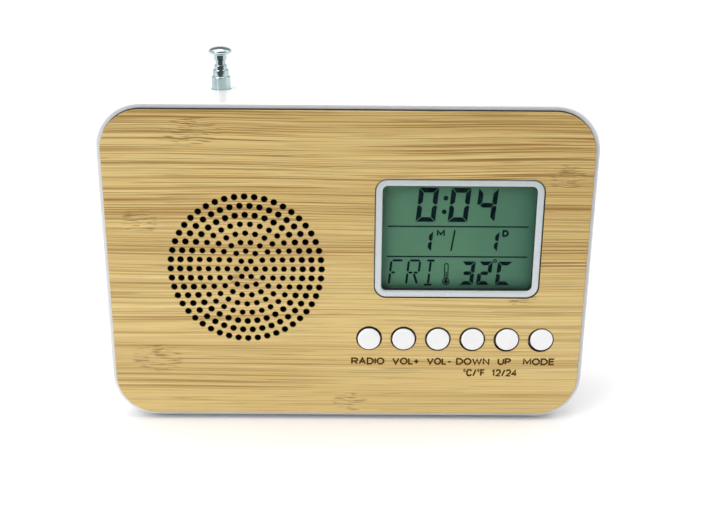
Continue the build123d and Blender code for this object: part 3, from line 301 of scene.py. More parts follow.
@dataclass(frozen=True)
class BambooFinish:
    """Pressed bamboo with long fine streaks, a few knuckles and scorched cut edges."""

    pale: Tone = Tone(226, 199, 130)
    straw: Tone = Tone(206, 174, 106)
    streak: Tone = Tone(150, 108, 34)
    pore: Tone = Tone(120, 84, 28)
    gleam: Tone = Tone(236, 212, 150)
    scorch: Tone = Tone(24, 20, 17)
    lath_mm: float = 16.4
    drift_mm: float = 3.0
    swirl_mm: float = 2.4
    gleams: Streaks = Streaks(0.006, 19.0, 1.1, 0.55, 0.66, 0.6)
    bold: Streaks = Streaks(0.005, 9.0, 0.8, 0.6, 0.68, 0.42, roughness=0.4)
    lines: Streaks = Streaks(0.008, 11.0, 1.9, 0.57, 0.61, 0.72)
    hairs: Streaks = Streaks(0.012, 13.0, 3.4, 0.57, 0.62, 0.7)
    fibres: Streaks = Streaks(0.05, 17.0, 6.5, 0.5, 0.68, 0.25, 2.0, 0.6)
    dashes: Streaks = Streaks(0.03, 23.0, 2.4, 0.61, 0.66, 0.4, 2.0)
    curls: Streaks = Streaks(0.16, 29.0, 2.3, 0.53, 0.59, 0.6, 2.0)
    knuckles: tuple[Knuckle, ...] = (
        Knuckle(-46.0, 94.6, 11.0, 5.5),
        Knuckle(-63.0, 67.0, 7.0, 5.0),
        Knuckle(-60.0, 21.5, 10.0, 6.0),
        Knuckle(1.0, 6.4, 7.0, 4.0),
        Knuckle(65.5, 81.5, 7.0, 5.0),
        Knuckle(54.0, 42.6, 6.0, 3.2),
        Knuckle(-31.0, 48.5, 7.0, 4.0),
    )

    def make(self) -> Material:
        """Return the material."""
        bench = Bench("bamboo_board")
        x, _, z = bench.place()
        _, face_y, _ = bench.facing()
        knot: Any = 0.0
        for knuckle in self.knuckles:
            knot = bench.maths("MAXIMUM", knot, knuckle.near(bench, x, z))
        drift = bench.noise(x * 0.012, 0.0, z * 0.04, 0.0) - 0.5
        swirl = bench.noise(x * 0.11, 3.0, z * 0.16, 1.0) - 0.5
        grain_z = z + drift * self.drift_mm + swirl * knot * self.swirl_mm
        lath = bench.noise(bench.maths("FLOOR", z / self.lath_mm + 0.25) * 3.7, 5.0, 0.0, 0.0)
        band = bench.noise(x * 0.004, 7.0, grain_z * 0.13, 3.0)
        busy = 0.3 + bench.step(band, 0.4, 0.62) * 0.45 + bench.step(z, 15.0, 95.0) * 0.62
        tint = band * 0.55 + lath * 0.35 + bench.step(z, 0.0, 105.0) * 0.05 + 0.02
        colour = bench.blend(bench.step(tint, 0.4, 0.62), self.pale, self.straw)
        levels: dict[Streaks, Wire] = {}
        for streaks, share, tone in (
            (self.gleams, 1.0, self.gleam),
            (self.bold, busy, self.streak),
            (self.lines, busy, self.streak),
            (self.hairs, busy, self.streak),
            (self.fibres, 1.0, self.streak),
            (self.dashes, 1.0, self.pore),
            (self.curls, bench.step(knot, 0.1, 0.55), self.pore),
        ):
            levels[streaks] = streaks.level(bench, x, grain_z)
            shown = bench.step(levels[streaks], streaks.low, streaks.high)
            colour = bench.blend(shown * (share * streaks.strength), colour, tone)
        fibre = levels[self.fibres]
        cut = 1.0 - bench.step(abs(face_y), 0.35, 0.85)
        return bench.surface(
            base_color=bench.blend(cut, colour, self.scorch),
            roughness=0.45 + fibre * 0.16 + cut * 0.25,
            coat_weight=0.12,
            coat_roughness=0.35,
            normal=bench.bump(fibre + levels[self.hairs] * 0.5, 0.03, 0.4),
        )


@dataclass(frozen=True)
class ScorchFinish:
    """Wood browned by the cutting beam, darker in some places than in others."""

    name: str = "scorched_wood"
    dark: Tone = Tone(160, 126, 70)
    light: Tone = Tone(190, 156, 96)

    def make(self) -> Material:
        """Return the material."""
        bench = Bench(self.name)
        x, _, z = bench.place()
        tint = bench.noise(x * 0.3, 0.0, z * 2.2, 3.0)
        return bench.surface(
            base_color=bench.blend(bench.step(tint, 0.35, 0.7), self.dark, self.light),
            roughness=0.6 + tint * 0.2,
            specular_ior_level=0.1,
        )


@dataclass(frozen=True)
class MouldedFinish:
    """Moulded plastic: an even tone with a faint mottle and a fine grain, in millimetres, in its gloss."""

    name: str
    tone: Tone
    mottle: Tone
    roughness: float = 0.28
    coat: float = 0.0
    grain: float = 0.35
    depth: float = 0.002
    specular: float = 0.5

    def make(self) -> Material:
        """Return the material."""
        bench = Bench(self.name)
        place = bench.place()
        cloud = bench.even_noise(place, CLOUD_PER_MM, 3.0)
        grain = bench.even_noise(place, 1 / self.grain, 2.0)
        return bench.surface(
            base_color=bench.blend(bench.step(cloud, *CLOUD_LEVELS), self.tone, self.mottle),
            roughness=self.roughness + (grain - 0.5) * 0.12 + (cloud - 0.5) * 0.1,
            coat_weight=self.coat,
            coat_roughness=GLOSS_COAT,
            specular_ior_level=self.specular,
            normal=bench.bump(grain, self.depth, 0.6),
        )


@dataclass(frozen=True)
class CapFinish:
    """Glossy white caps whose sides carry painted shade where they run in their holes."""

    tone: Tone = Tone(248, 249, 251)
    mottle: Tone = Tone(244, 245, 248)
    # Colour of the painted shade on the cap's sides inside the hole.
    painted_gap_shade: Tone = Tone(34, 33, 32)
    hole_y: float = -18.0
    fade_mm: float = 0.1
    grain_per_mm: float = 3.0

    def make(self) -> Material:
        """Return the material."""
        bench = Bench("button_plastic")
        place = bench.place()
        cloud = bench.even_noise(place, CLOUD_PER_MM, 3.0)
        grain = bench.even_noise(place, self.grain_per_mm, 2.0)
        # Painted shade: the part of the cap that stands inside its hole is darkened.
        gap_shaded = bench.step(place[1], self.hole_y - self.fade_mm, self.hole_y + self.fade_mm)
        clean = bench.blend(bench.step(cloud, *CLOUD_LEVELS), self.tone, self.mottle)
        return bench.surface(
            base_color=bench.blend(gap_shaded * (0.85 + grain * 0.1), clean, self.painted_gap_shade),
            roughness=0.2 + (grain - 0.5) * 0.1 + gap_shaded * 0.5,
            coat_weight=0.3,
            coat_roughness=GLOSS_COAT,
        )


@dataclass(frozen=True)
class MetalFinish:
    """Bare or plated metal with fine scratches along one direction."""

    name: str
    tone: Tone
    worn: Tone
    roughness: float
    stretch: Place = (3.0, 3.0, 3.0)
    depth: float = 0.002

    def make(self) -> Material:
        """Return the material."""
        bench = Bench(self.name)
        place = bench.place()
        scratch = bench.noise(*(part * pull for part, pull in zip(place, self.stretch)), 3.0)
        cloud = bench.even_noise(place, 0.25, 2.0)
        return bench.surface(
            base_color=bench.blend(bench.step(cloud, 0.4, 0.75), self.tone, self.worn),
            metallic=1.0,
            roughness=self.roughness + scratch * 0.08 + (cloud - 0.5) * 0.05,
            normal=bench.bump(scratch, self.depth, 0.4),
        )


@dataclass(frozen=True)
class SilverPaintFinish:
    """Satin silver paint with fine metal flakes."""

    tone: Tone = Tone(199, 207, 210)
    flake: Tone = Tone(220, 226, 228)
    flakes_per_mm: float = 9.0

    def make(self) -> Material:
        """Return the material."""
        bench = Bench("silver_paint")
        place = bench.place()
        flake = bench.even_noise(place, self.flakes_per_mm, 1.0)
        cloud = bench.even_noise(place, 0.2, 2.0)
        return bench.surface(
            base_color=bench.blend(bench.step(flake, 0.48, 0.66), self.tone, self.flake),
            metallic=0.55,
            roughness=0.36 + (cloud - 0.5) * 0.1,
            coat_weight=0.15,
            coat_roughness=0.2,
            normal=bench.bump(flake, 0.004, 0.5),
        )


@dataclass(frozen=True)
class LensFinish:
    """Clear acrylic with faint rubbing marks."""

    tone: Tone = Tone(70, 96, 84)
    haze: float = 0.02

    def make(self) -> Material:
        """Return the material."""
        bench = Bench("clear_acrylic")
        x, y, z = bench.place()
        rub = bench.noise(x * 0.12, y, z * 1.4, 3.0)
        gloss = 0.05 + bench.step(rub, 0.55, 0.8) * 0.1
        material = bench.surface(base_color=self.tone, roughness=gloss, alpha=self.haze)
        material.blend_method = "BLEND"
        return material


@dataclass(frozen=True)
class LcdFinish:
    """Liquid-crystal glass: grey green, with painted shade that deepens it towards its edges and its right
    side, and a fine matt grain.
    """

    middle: Tone = Tone(84, 133, 104)
    # Tone of the painted shade, also the far end of the random cloud.
    shaded_tone: Tone = Tone(51, 99, 83)
    centre: Point = (33.7, 61.6)
    half: Point = (23.3, 16.8)
    shade_x: Point = (30.0, 60.0)

    def make(self) -> Material:
        """Return the material."""
        bench = Bench("lcd_glass")
        x, _, z = bench.place()
        across = abs(x - self.centre[0]) / self.half[0]
        above = abs(z - self.centre[1]) / self.half[1]
        # Painted shade from the frame's recess, near the edges of the window.
        frame_shade = bench.step(bench.maths("MAXIMUM", across, above), 0.72, 1.0)
        cloud = bench.noise(x * 0.06, 0.0, z * 0.06, 2.0)
        grain = bench.noise(x * 8.0, 0.0, z * 8.0, 2.0)
        # Painted shade from the frame, painted shade for less light towards the right, and a random cloud.
        shade = frame_shade * 0.35 + bench.step(x, *self.shade_x) * 0.4 + bench.step(cloud, 0.4, 0.8) * 0.25
        return bench.surface(
            base_color=bench.blend(shade, self.middle, self.shaded_tone),
            roughness=0.42 + (grain - 0.5) * 0.1,
            specular_ior_level=0.25,
        )


@dataclass(frozen=True)
class ClothFinish:
    """Plain weave of round threads."""

    name: str
    tone: Tone
    shade: Tone
    pitch_mm: float = 0.45

    def make(self) -> Material:
        """Return the material."""
        bench = Bench(self.name)
        x, _, z = bench.place()
        turn = math.pi / self.pitch_mm
        warp = bench.maths("SINE", x * turn)
        weft = bench.maths("SINE", z * turn)
        over = bench.step(warp * weft, -0.2, 0.2)
        thread = over * abs(warp) + (1.0 - over) * abs(weft)
        fuzz = bench.noise(x * 4.0, 0.0, z * 4.0, 2.0)
        return bench.surface(
            base_color=bench.blend(thread * 0.7 + fuzz * 0.3, self.shade, self.tone),
            roughness=0.85 + (fuzz - 0.5) * 0.1,
            normal=bench.bump(thread, 0.1, 0.8),
        )


@dataclass(frozen=True)
class CellFinish:
    """Printed sleeve of a dry cell, with bare steel on its ends and a copper-coloured band."""

    sleeve: Tone = Tone(38, 44, 54)
    band: Tone = Tone(176, 112, 60)
    steel: Tone = Tone(196, 197, 196)
    split_x: float = 36.0
    split_mm: float = 0.05

    def make(self) -> Material:
        """Return the material."""
        bench = Bench("cell_sleeve")
        place = bench.place()
        face_x, _, _ = bench.facing()
        ends = bench.step(abs(face_x), 0.4, 0.6)
        copper = bench.step(place[0], self.split_x - self.split_mm, self.split_x + self.split_mm)
        wear = bench.even_noise(place, 0.4, 3.0)
        colour = bench.blend(copper, self.sleeve, self.band)
        colour = bench.blend(bench.step(wear, 0.6, 0.75) * 0.15, colour, self.steel)
        return bench.surface(
            base_color=bench.blend(ends, colour, self.steel),
            metallic=0.2 + ends * 0.8,
            roughness=0.3 + wear * 0.12,
        )


class GeoTree(Wiring):
    """A Geometry Nodes tree with named inputs that ends in one material."""

    def __init__(self, name: str) -> None:
        """Start the tree with a group input and output.

        Args:
            name: the tree's name.
        """
        super().__init__(bpy.data.node_groups.new(name, "GeometryNodeTree"))
        self.tree.interface.new_socket("Geometry", in_out="OUTPUT", socket_type="NodeSocketGeometry")
        self.source = self.node("NodeGroupInput")
        self.sink = self.node("NodeGroupOutput")
        self.values: dict[str, Any] = {}

    def ask(self, name: str, kind: str, value: Any) -> Wire:
        """Add a named input.

        Args:
            name: the input's name.
            kind: its socket type.
            value: what the modifier sets on it.

        Returns:
            The wire that carries it in the tree.
        """
        item = self.tree.interface.new_socket(name, in_out="INPUT", socket_type=kind)
        self.values[item.identifier] = value
        return Wire(self, self.source.outputs[name])

    def join(self, shapes: Iterable[Wire]) -> Wire:
        """Join geometries.

        Args:
            shapes: the geometries.

        Returns:
            All of them as one.
        """
        made = self.node("GeometryNodeJoinGeometry")
        for shape in shapes:
            self.feed(made.inputs[0], shape)
        return Wire(self, made.outputs[0])

    def build(self, name: str, shape: Wire, material: Material) -> Piece:
        """Close the tree, run it and keep its result as a plain mesh.

        Args:
            name: the piece's name.
            shape: the last geometry of the tree.
            material: the piece's finish.

        Returns:
            The piece.
        """
        whole = self.wire("GeometryNodeRealizeInstances", None, {0: shape})
        finish = self.ask("Finish", "NodeSocketMaterial", material)
        inputs = {"Geometry": whole, "Material": finish}
        self.feed(self.sink.inputs[0], self.wire("GeometryNodeSetMaterial", None, inputs))
        piece = add_object(name, bpy.data.meshes.new(name))
        modifier = piece.modifiers.new(name, "NODES")
        modifier.node_group = self.tree
        for identifier, value in self.values.items():
            modifier[identifier] = value
        bpy.context.view_layer.update()
        seen = piece.evaluated_get(bpy.context.evaluated_depsgraph_get())
        mesh = bpy.data.meshes.new_from_object(seen)
        piece.modifiers.clear()
        piece.data = mesh
        mesh.name = name
        return piece


def add_object(name: str, data: bpy.types.ID) -> Piece:
    """Link a new object to the scene.

    Args:
        name: its name.
        data: its mesh, light or camera.

    Returns:
        The object.
    """
    made = bpy.data.objects.new(name, data)
    bpy.context.scene.collection.objects.link(made)
    return made


def dress(finish: Finish, *nodes: str) -> Material:
    """Give CAD nodes a finish.

    Args:
        finish: the finish.
        nodes: the nodes' names.

    Returns:
        The finish's material.
    """
    material = finish.make()
    for name in nodes:
        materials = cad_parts[name].data.materials
        materials.clear()
        materials.append(material)
        LOG.info("dressed %s with %s", name, material.name)
    return material


def settle(piece: Piece) -> None:
    """Let a finished piece ride on the case.

    Args:
        piece: the piece.
    """
    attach(piece, CASE)
    LOG.info("built %s on %s, %d faces", piece.name, CASE, len(piece.data.polygons))


@dataclass(frozen=True)
class Glyph:
    """A plain capital, drawn as lines in a square of side 1 that is then narrowed to its width."""

    width: float
    paths: tuple[tuple[Point, ...], ...]
    weight: float = 1.0


# Gap between capitals, limit for the reach of a pointed corner, and lean of the display's figures.
GLYPH_GAP = 0.34
SHARPEST_MITRE = 0.8
LEAN = 0.09
BOWL = ((0, 0), (0, 1), (0.7, 1), (1, 0.84), (1, 0.62), (0.7, 0.46), (0, 0.46))
GLYPHS = {
    "A": Glyph(0.95, (((0, 0), (0.5, 1), (1, 0)), ((0.2, 0.34), (0.8, 0.34)))),
    "C": Glyph(
        0.9, (((1, 0.76), (0.74, 1), (0.26, 1), (0, 0.7), (0, 0.3), (0.26, 0), (0.74, 0), (1, 0.24)),)
    ),
    "D": Glyph(0.9, (((0, 0), (0, 1), (0.6, 1), (1, 0.68), (1, 0.32), (0.6, 0), (0, 0)),)),
    "E": Glyph(0.75, (((1, 1), (0, 1), (0, 0), (1, 0)), ((0, 0.52), (0.9, 0.52)))),
    "F": Glyph(0.7, (((1, 1), (0, 1), (0, 0)), ((0, 0.52), (0.85, 0.52)))),
    "I": Glyph(0.01, (((0, 0), (0, 1)),)),
    "L": Glyph(0.65, (((0, 1), (0, 0), (1, 0)),)),
    "M": Glyph(1.05, (((0, 0), (0, 1), (0.5, 0.2), (1, 1), (1, 0)),)),
    "N": Glyph(0.85, (((0, 0), (0, 1), (1, 0), (1, 1)),)),
    "O": Glyph(
        1.0, (((0.3, 0), (0, 0.3), (0, 0.7), (0.3, 1), (0.7, 1), (1, 0.7), (1, 0.3), (0.7, 0), (0.3, 0)),)
    ),
    "P": Glyph(0.78, (BOWL,)),
    "R": Glyph(0.85, (BOWL, ((0.5, 0.46), (1, 0)))),
    "U": Glyph(0.85, (((0, 1), (0, 0.28), (0.26, 0), (0.74, 0), (1, 0.28), (1, 1)),)),
    "V": Glyph(0.95, (((0, 1), (0.5, 0), (1, 1)),)),
    "W": Glyph(1.4, (((0, 1), (0.26, 0), (0.5, 0.9), (0.74, 0), (1, 1)),)),
    "+": Glyph(0.66, (((0.36, 0.05), (0.36, 0.85)), ((-0.22, 0.45), (0.94, 0.45)))),
    "-": Glyph(0.55, (((0, 0.42), (1, 0.42)),)),
    "/": Glyph(0.5, (((0, -0.05), (1, 1.05)),)),
    "1": Glyph(0.4, (((0, 0.72), (0.7, 1), (0.7, 0)),)),
    "2": Glyph(0.75, (((0, 0.74), (0.24, 1), (0.76, 1), (1, 0.74), (0.95, 0.52), (0, 0), (1, 0)),)),
    "4": Glyph(0.8, (((0.74, 0), (0.74, 1), (0, 0.28), (1, 0.28)),)),
    "°": Glyph(
        0.34, (((0, 0.82), (0.1, 1), (0.5, 1.1), (0.9, 1), (1, 0.82), (0.5, 0.66), (0, 0.82)),), 0.5
    ),
}


@dataclass
class Relief:
    """A mesh of thin flat figures that stand out of a plane, back_y, that faces the front."""

    name: str
    back_y: float
    rise: float
    shape: bmesh.types.BMesh = field(default_factory=bmesh.new)

    def figure(self, outline: Sequence[Point]) -> None:
        """Add a flat figure.

        Args:
            outline: its corners as x and z in millimetres, either way round.
        """
        area = sum(a[0] * b[1] - b[0] * a[1] for a, b in zip(outline, [*outline[1:], outline[0]]))
        points = list(outline) if area > 0 else list(reversed(outline))
        front_y = self.back_y - self.rise
        front = [self.shape.verts.new((x * MM, front_y * MM, z * MM)) for x, z in points]
        back = [self.shape.verts.new((x * MM, self.back_y * MM, z * MM)) for x, z in points]
        self.shape.faces.new(front)
        self.shape.faces.new(list(reversed(back)))
        for i in range(len(points)):
            j = (i + 1) % len(points)
            self.shape.faces.new((front[j], front[i], back[i], back[j]))

    def stroke(self, start: Point, end: Point, width: float, tip: float = 0.5) -> None:
        """Add a bar with pointed ends.

        Args:
            start: one end.
            end: the other end.
            width: the bar's width.
            tip: length of the points, as a share of the width.
        """
        first, last = Vector(start), Vector(end)
        way = (last - first).normalized()
        side = Vector((-way.y, way.x)) * width / 2
        near, far = first + way * width * tip, last - way * width * tip
        corners = (first, near - side, far - side, last, far + side, near + side)
        self.figure([tuple(corner) for corner in corners])

    def round(self, centre: Point, radius: float, hole: float = 0.0, sides: int = 20) -> None:
        """Add a disc, or a ring of short bars when hole is given.

        Args:
            centre: middle of the disc.
            radius: its radius.
            hole: radius of the opening in it.
            sides: number of sides.
        """
        turns = [2 * math.pi * i / sides for i in range(sides)]
        outer, inner = (
            [(centre[0] + reach * math.cos(turn), centre[1] + reach * math.sin(turn)) for turn in turns]
            for reach in (radius, hole)
        )
        if not hole:
            self.figure(outer)
            return
        for i in range(sides):
            j = (i + 1) % sides
            self.figure([outer[i], outer[j], inner[j], inner[i]])

    def ribbon(self, path: Sequence[Point], width: float, closed: bool = False) -> None:
        """Add a line of even width with mitred corners.

        Args:
            path: the corners of its middle.
            width: the line's width.
            closed: whether it runs back to its start.
        """
        points = [Vector(p) for p in path]
        count = len(points)
        sides = []
        for i, point in enumerate(points):
            ways = []
            if i or closed:
                ways.append((point - points[i - 1]).normalized())
            if i < count - 1 or closed:
                ways.append((points[(i + 1) % count] - point).normalized())
            across = sum((Vector((-way.y, way.x)) for way in ways), Vector((0.0, 0.0)))
            reach = across if len(ways) == 1 else across * 2 / max(across.length_squared, SHARPEST_MITRE)
            sides.append((point + reach * width / 2, point - reach * width / 2))
        for i in range(count if closed else count - 1):
            first, second = sides[i], sides[(i + 1) % count]
            self.figure([first[0], second[0], second[1], first[1]])

    def labels(self, labels: Iterable[Label], level: Point, width: float) -> None:
        """Add words of plain capitals.

        Args:
            labels: each word with its left and right end.
            level: the foot and the top of the words.
            width: width of their lines.
        """
        inset = width / 2
        foot, rise = level[0] + inset, level[1] - level[0] - width
        for text, left, right in labels:
            glyphs = [GLYPHS[letter] for letter in text]
            units = sum(glyph.width for glyph in glyphs) + GLYPH_GAP * (len(glyphs) - 1)
            scale = (right - left - width) / units
            x = left + inset
            for glyph in glyphs:
                for path in glyph.paths:
                    closed = path[0] == path[-1]
                    corners = path[:-1] if closed else path
                    line = [(x + px * glyph.width * scale, foot + pz * rise) for px, pz in corners]
                    self.ribbon(line, width * glyph.weight, closed)
                x += (glyph.width + GLYPH_GAP) * scale

    def finish(self, material: Material) -> Piece:
        """Turn the relief into a piece.

        Args:
            material: its finish.

        Returns:
            The piece.
        """
        mesh = bpy.data.meshes.new(self.name)
        self.shape.to_mesh(mesh)
        self.shape.free()
        mesh.materials.append(material)
        return add_object(self.name, mesh)


@dataclass(frozen=True)
class Digits:
    """Seven-bar figures that lean to the right."""

    height: float
    width: float
    bar: float
    gap: float = 0.14

    BARS = {"0": "abcdef", "1": "bc", "2": "abdeg", "3": "abcdg", "4": "bcfg", "C": "adef"}

    def bars(self) -> dict[str, list[Point]]:
        """Lay out the bars, upright, from the figure's lower left corner.

        Returns:
            The outline of each bar by its letter.
        """
        h, w, t, g = self.height, self.width, self.bar, self.gap
        half = h / 2
        top = [(g, h), (w - g, h), (w - t - g, h - t), (t + g, h - t)]
        upper_left = [(0.0, h - g), (t, h - t - g), (t, half + t / 2 + g)]
        upper_left += [(t / 2, half + g), (0.0, half + g * 2)]
        middle = [(t / 2 + g, half), (t + g, half + t / 2), (w - t - g, half + t / 2)]
        middle += [(w - t / 2 - g, half), (w - t - g, half - t / 2), (t + g, half - t / 2)]
        upper = {"a": top, "b": [(w - x, z) for x, z in upper_left], "f": upper_left}
        lower = {low: [(x, h - z) for x, z in upper[high]] for low, high in zip("dce", "abf")}
        return {**upper, **lower, "g": middle}

    def draw(self, relief: Relief, figure: str, x: float, z: float) -> None:
        """Draw one figure.

        Args:
            relief: the relief to draw on.
            figure: the figure.
            x: its left side, at its foot.
            z: its foot.
        """
        outlines = self.bars()
        for name in self.BARS[figure]:
            relief.figure([(x + px + LEAN * pz, z + pz) for px, pz in outlines[name]])


@dataclass(frozen=True)
class ScorchRings:
    """Browned rings round the holes that are cut in the face, made with Geometry Nodes."""

    width: float = 0.08
    rise: float = 0.012
    depth: float = 0.03
    sides: int = 14

    def ring(self, tree: GeoTree, name: str, radius: float, sides: int) -> Wire:
        """Make a flat ring round a hole.

        Args:
            tree: the tree to build in.
            name: name of the hole's radius among the inputs.
            radius: the hole's radius, in millimetres.
            sides: number of sides.

        Returns:
            The ring's geometry.
        """
        hole = tree.ask(name, "NodeSocketFloat", radius * MM)
        inputs = {"Resolution": sides, "Radius": hole + self.width / 2 * MM}
        path = tree.wire("GeometryNodeCurvePrimitiveCircle", None, inputs)
        sizes = {0: self.width * MM, 1: self.depth * MM}
        section = tree.wire("GeometryNodeCurvePrimitiveQuadrilateral", None, sizes)
        return tree.wire("GeometryNodeCurveToMesh", None, {0: path, 1: section})

    def stand(self, tree: GeoTree, points: Wire, ring: Wire) -> Wire:
        """Return the ring repeated at each point."""
        return tree.wire("GeometryNodeInstanceOnPoints", None, {"Points": points, "Instance": ring})

    def upright(self, tree: GeoTree, shape: Wire, place: Place) -> Wire:
        """Return the shape turned to face the front, with its origin at the place, in millimetres."""
        inputs = {0: shape, "Translation": Vector(place) * MM, "Rotation": (math.pi / 2, 0.0, 0.0)}
        return tree.wire("GeometryNodeTransform", None, inputs)


@dataclass
class BambooFace:
    """Bamboo board with its grille, button holes and engraved words."""

    grille_x: float = -31.2
    ring_step: float = 2.895
    rings: int = 8
    fine_rings: int = 5
    ring_holes: int = 6
    fine_radius: float = 0.9
    coarse_radius: float = 1.0
    button_hole_radius: float = 4.05
    button_hole_sides: int = 56
    first_hole: Point = (6.825, 28.77)
    hole_pitch: Point = (10.83, -0.08)
    line_width: float = 0.56
    line_depth: float = 0.01
    line_rise: float = 0.02
    upper_z: Point = (19.65, 22.1)
    upper_words: tuple[Label, ...] = (
        ("RADIO", 1.2, 11.8),
        ("VOL+", 14.2, 23.0),
        ("VOL-", 25.2, 33.2),
        ("DOWN", 34.5, 45.2),
        ("UP", 47.7, 52.0),
        ("MODE", 55.8, 66.0),
    )
    lower_z: Point = (15.65, 18.2)
    lower_words: tuple[Label, ...] = (("°C/°F", 36.8, 44.0), ("12/24", 46.0, 54.2))
    engraved: ScorchFinish = ScorchFinish("engraved_wood", Tone(72, 50, 8), Tone(94, 68, 18))
    scorch: ScorchRings = ScorchRings()
    front_y: float = 0.0
    middle_z: float = 0.0

    def build(self) -> None:
        """Dress the board and add what is burnt into it."""
        low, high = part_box("front_panel")
        self.front_y = low.y / MM
        self.middle_z = (low.z + high.z) / 2 / MM
        dress(BambooFinish(), "front_panel")
        burnt = ScorchFinish().make()
        settle(self.grille_scorch(burnt))
        settle(self.button_scorch(burnt))
        settle(self.lettering(self.engraved.make()))

    def level(self) -> float:
        """Return the depth of the rings' middle."""
        return self.front_y - self.scorch.rise + self.scorch.depth / 2

    def grille_scorch(self, burnt: Material) -> Piece:
        """Make the browned rings of the grille, ring by ring.

        Args:
            burnt: their finish.

        Returns:
            The piece.
        """
        rings = self.scorch
        tree = GeoTree("grille_scorch_rings")
        step = tree.ask("Ring step", "NodeSocketFloat", self.ring_step * MM)
        fine_points = [tree.wire("GeometryNodePoints", None, {"Count": 1})]
        coarse_points = []
        for number in range(1, self.rings + 1):
            inputs = {"Vertices": self.ring_holes * number, "Radius": step * float(number)}
            circle = tree.wire("GeometryNodeMeshCircle", None, inputs)
            points = fine_points if number <= self.fine_rings else coarse_points
            points.append(tree.wire("GeometryNodeMeshToPoints", None, {0: circle}))
        fine = rings.ring(tree, "Fine hole", self.fine_radius, rings.sides)
        coarse = rings.ring(tree, "Coarse hole", self.coarse_radius, rings.sides)
        pairs = ((fine_points, fine), (coarse_points, coarse))
        standing = tree.join([rings.stand(tree, tree.join(points), ring) for points, ring in pairs])
        place = (self.grille_x, self.level(), self.middle_z)
        return tree.build("grille_scorch", rings.upright(tree, standing, place), burnt)

    def button_scorch(self, burnt: Material) -> Piece:
        """Make the browned rings of the button holes.

        Args:
            burnt: their finish.

        Returns:
            The piece.
        """
        tree = GeoTree("button_scorch_rings")
        offset = tree.ask("Pitch", "NodeSocketVector", Vector((*self.hole_pitch, 0.0)) * MM)
        inputs = {"Count": len(BUTTONS), "Offset": offset}
        row = tree.wire("GeometryNodeMeshLine", {"mode": "OFFSET"}, inputs)
        ring = self.scorch.ring(tree, "Button hole", self.button_hole_radius, self.button_hole_sides)
        place = (self.first_hole[0], self.level(), self.first_hole[1])
        standing = self.scorch.stand(tree, row, ring)
        return tree.build("button_scorch", self.scorch.upright(tree, standing, place), burnt)

    def lettering(self, burnt: Material) -> Piece:
        """Make the words under the buttons.

        Args:
            burnt: their finish.

        Returns:
            The piece.
        """
        relief = Relief("face_words", self.front_y + self.line_depth, self.line_rise)
        relief.labels(self.upper_words, self.upper_z, self.line_width)
        relief.labels(self.lower_words, self.lower_z, self.line_width)
        return relief.finish(burnt)


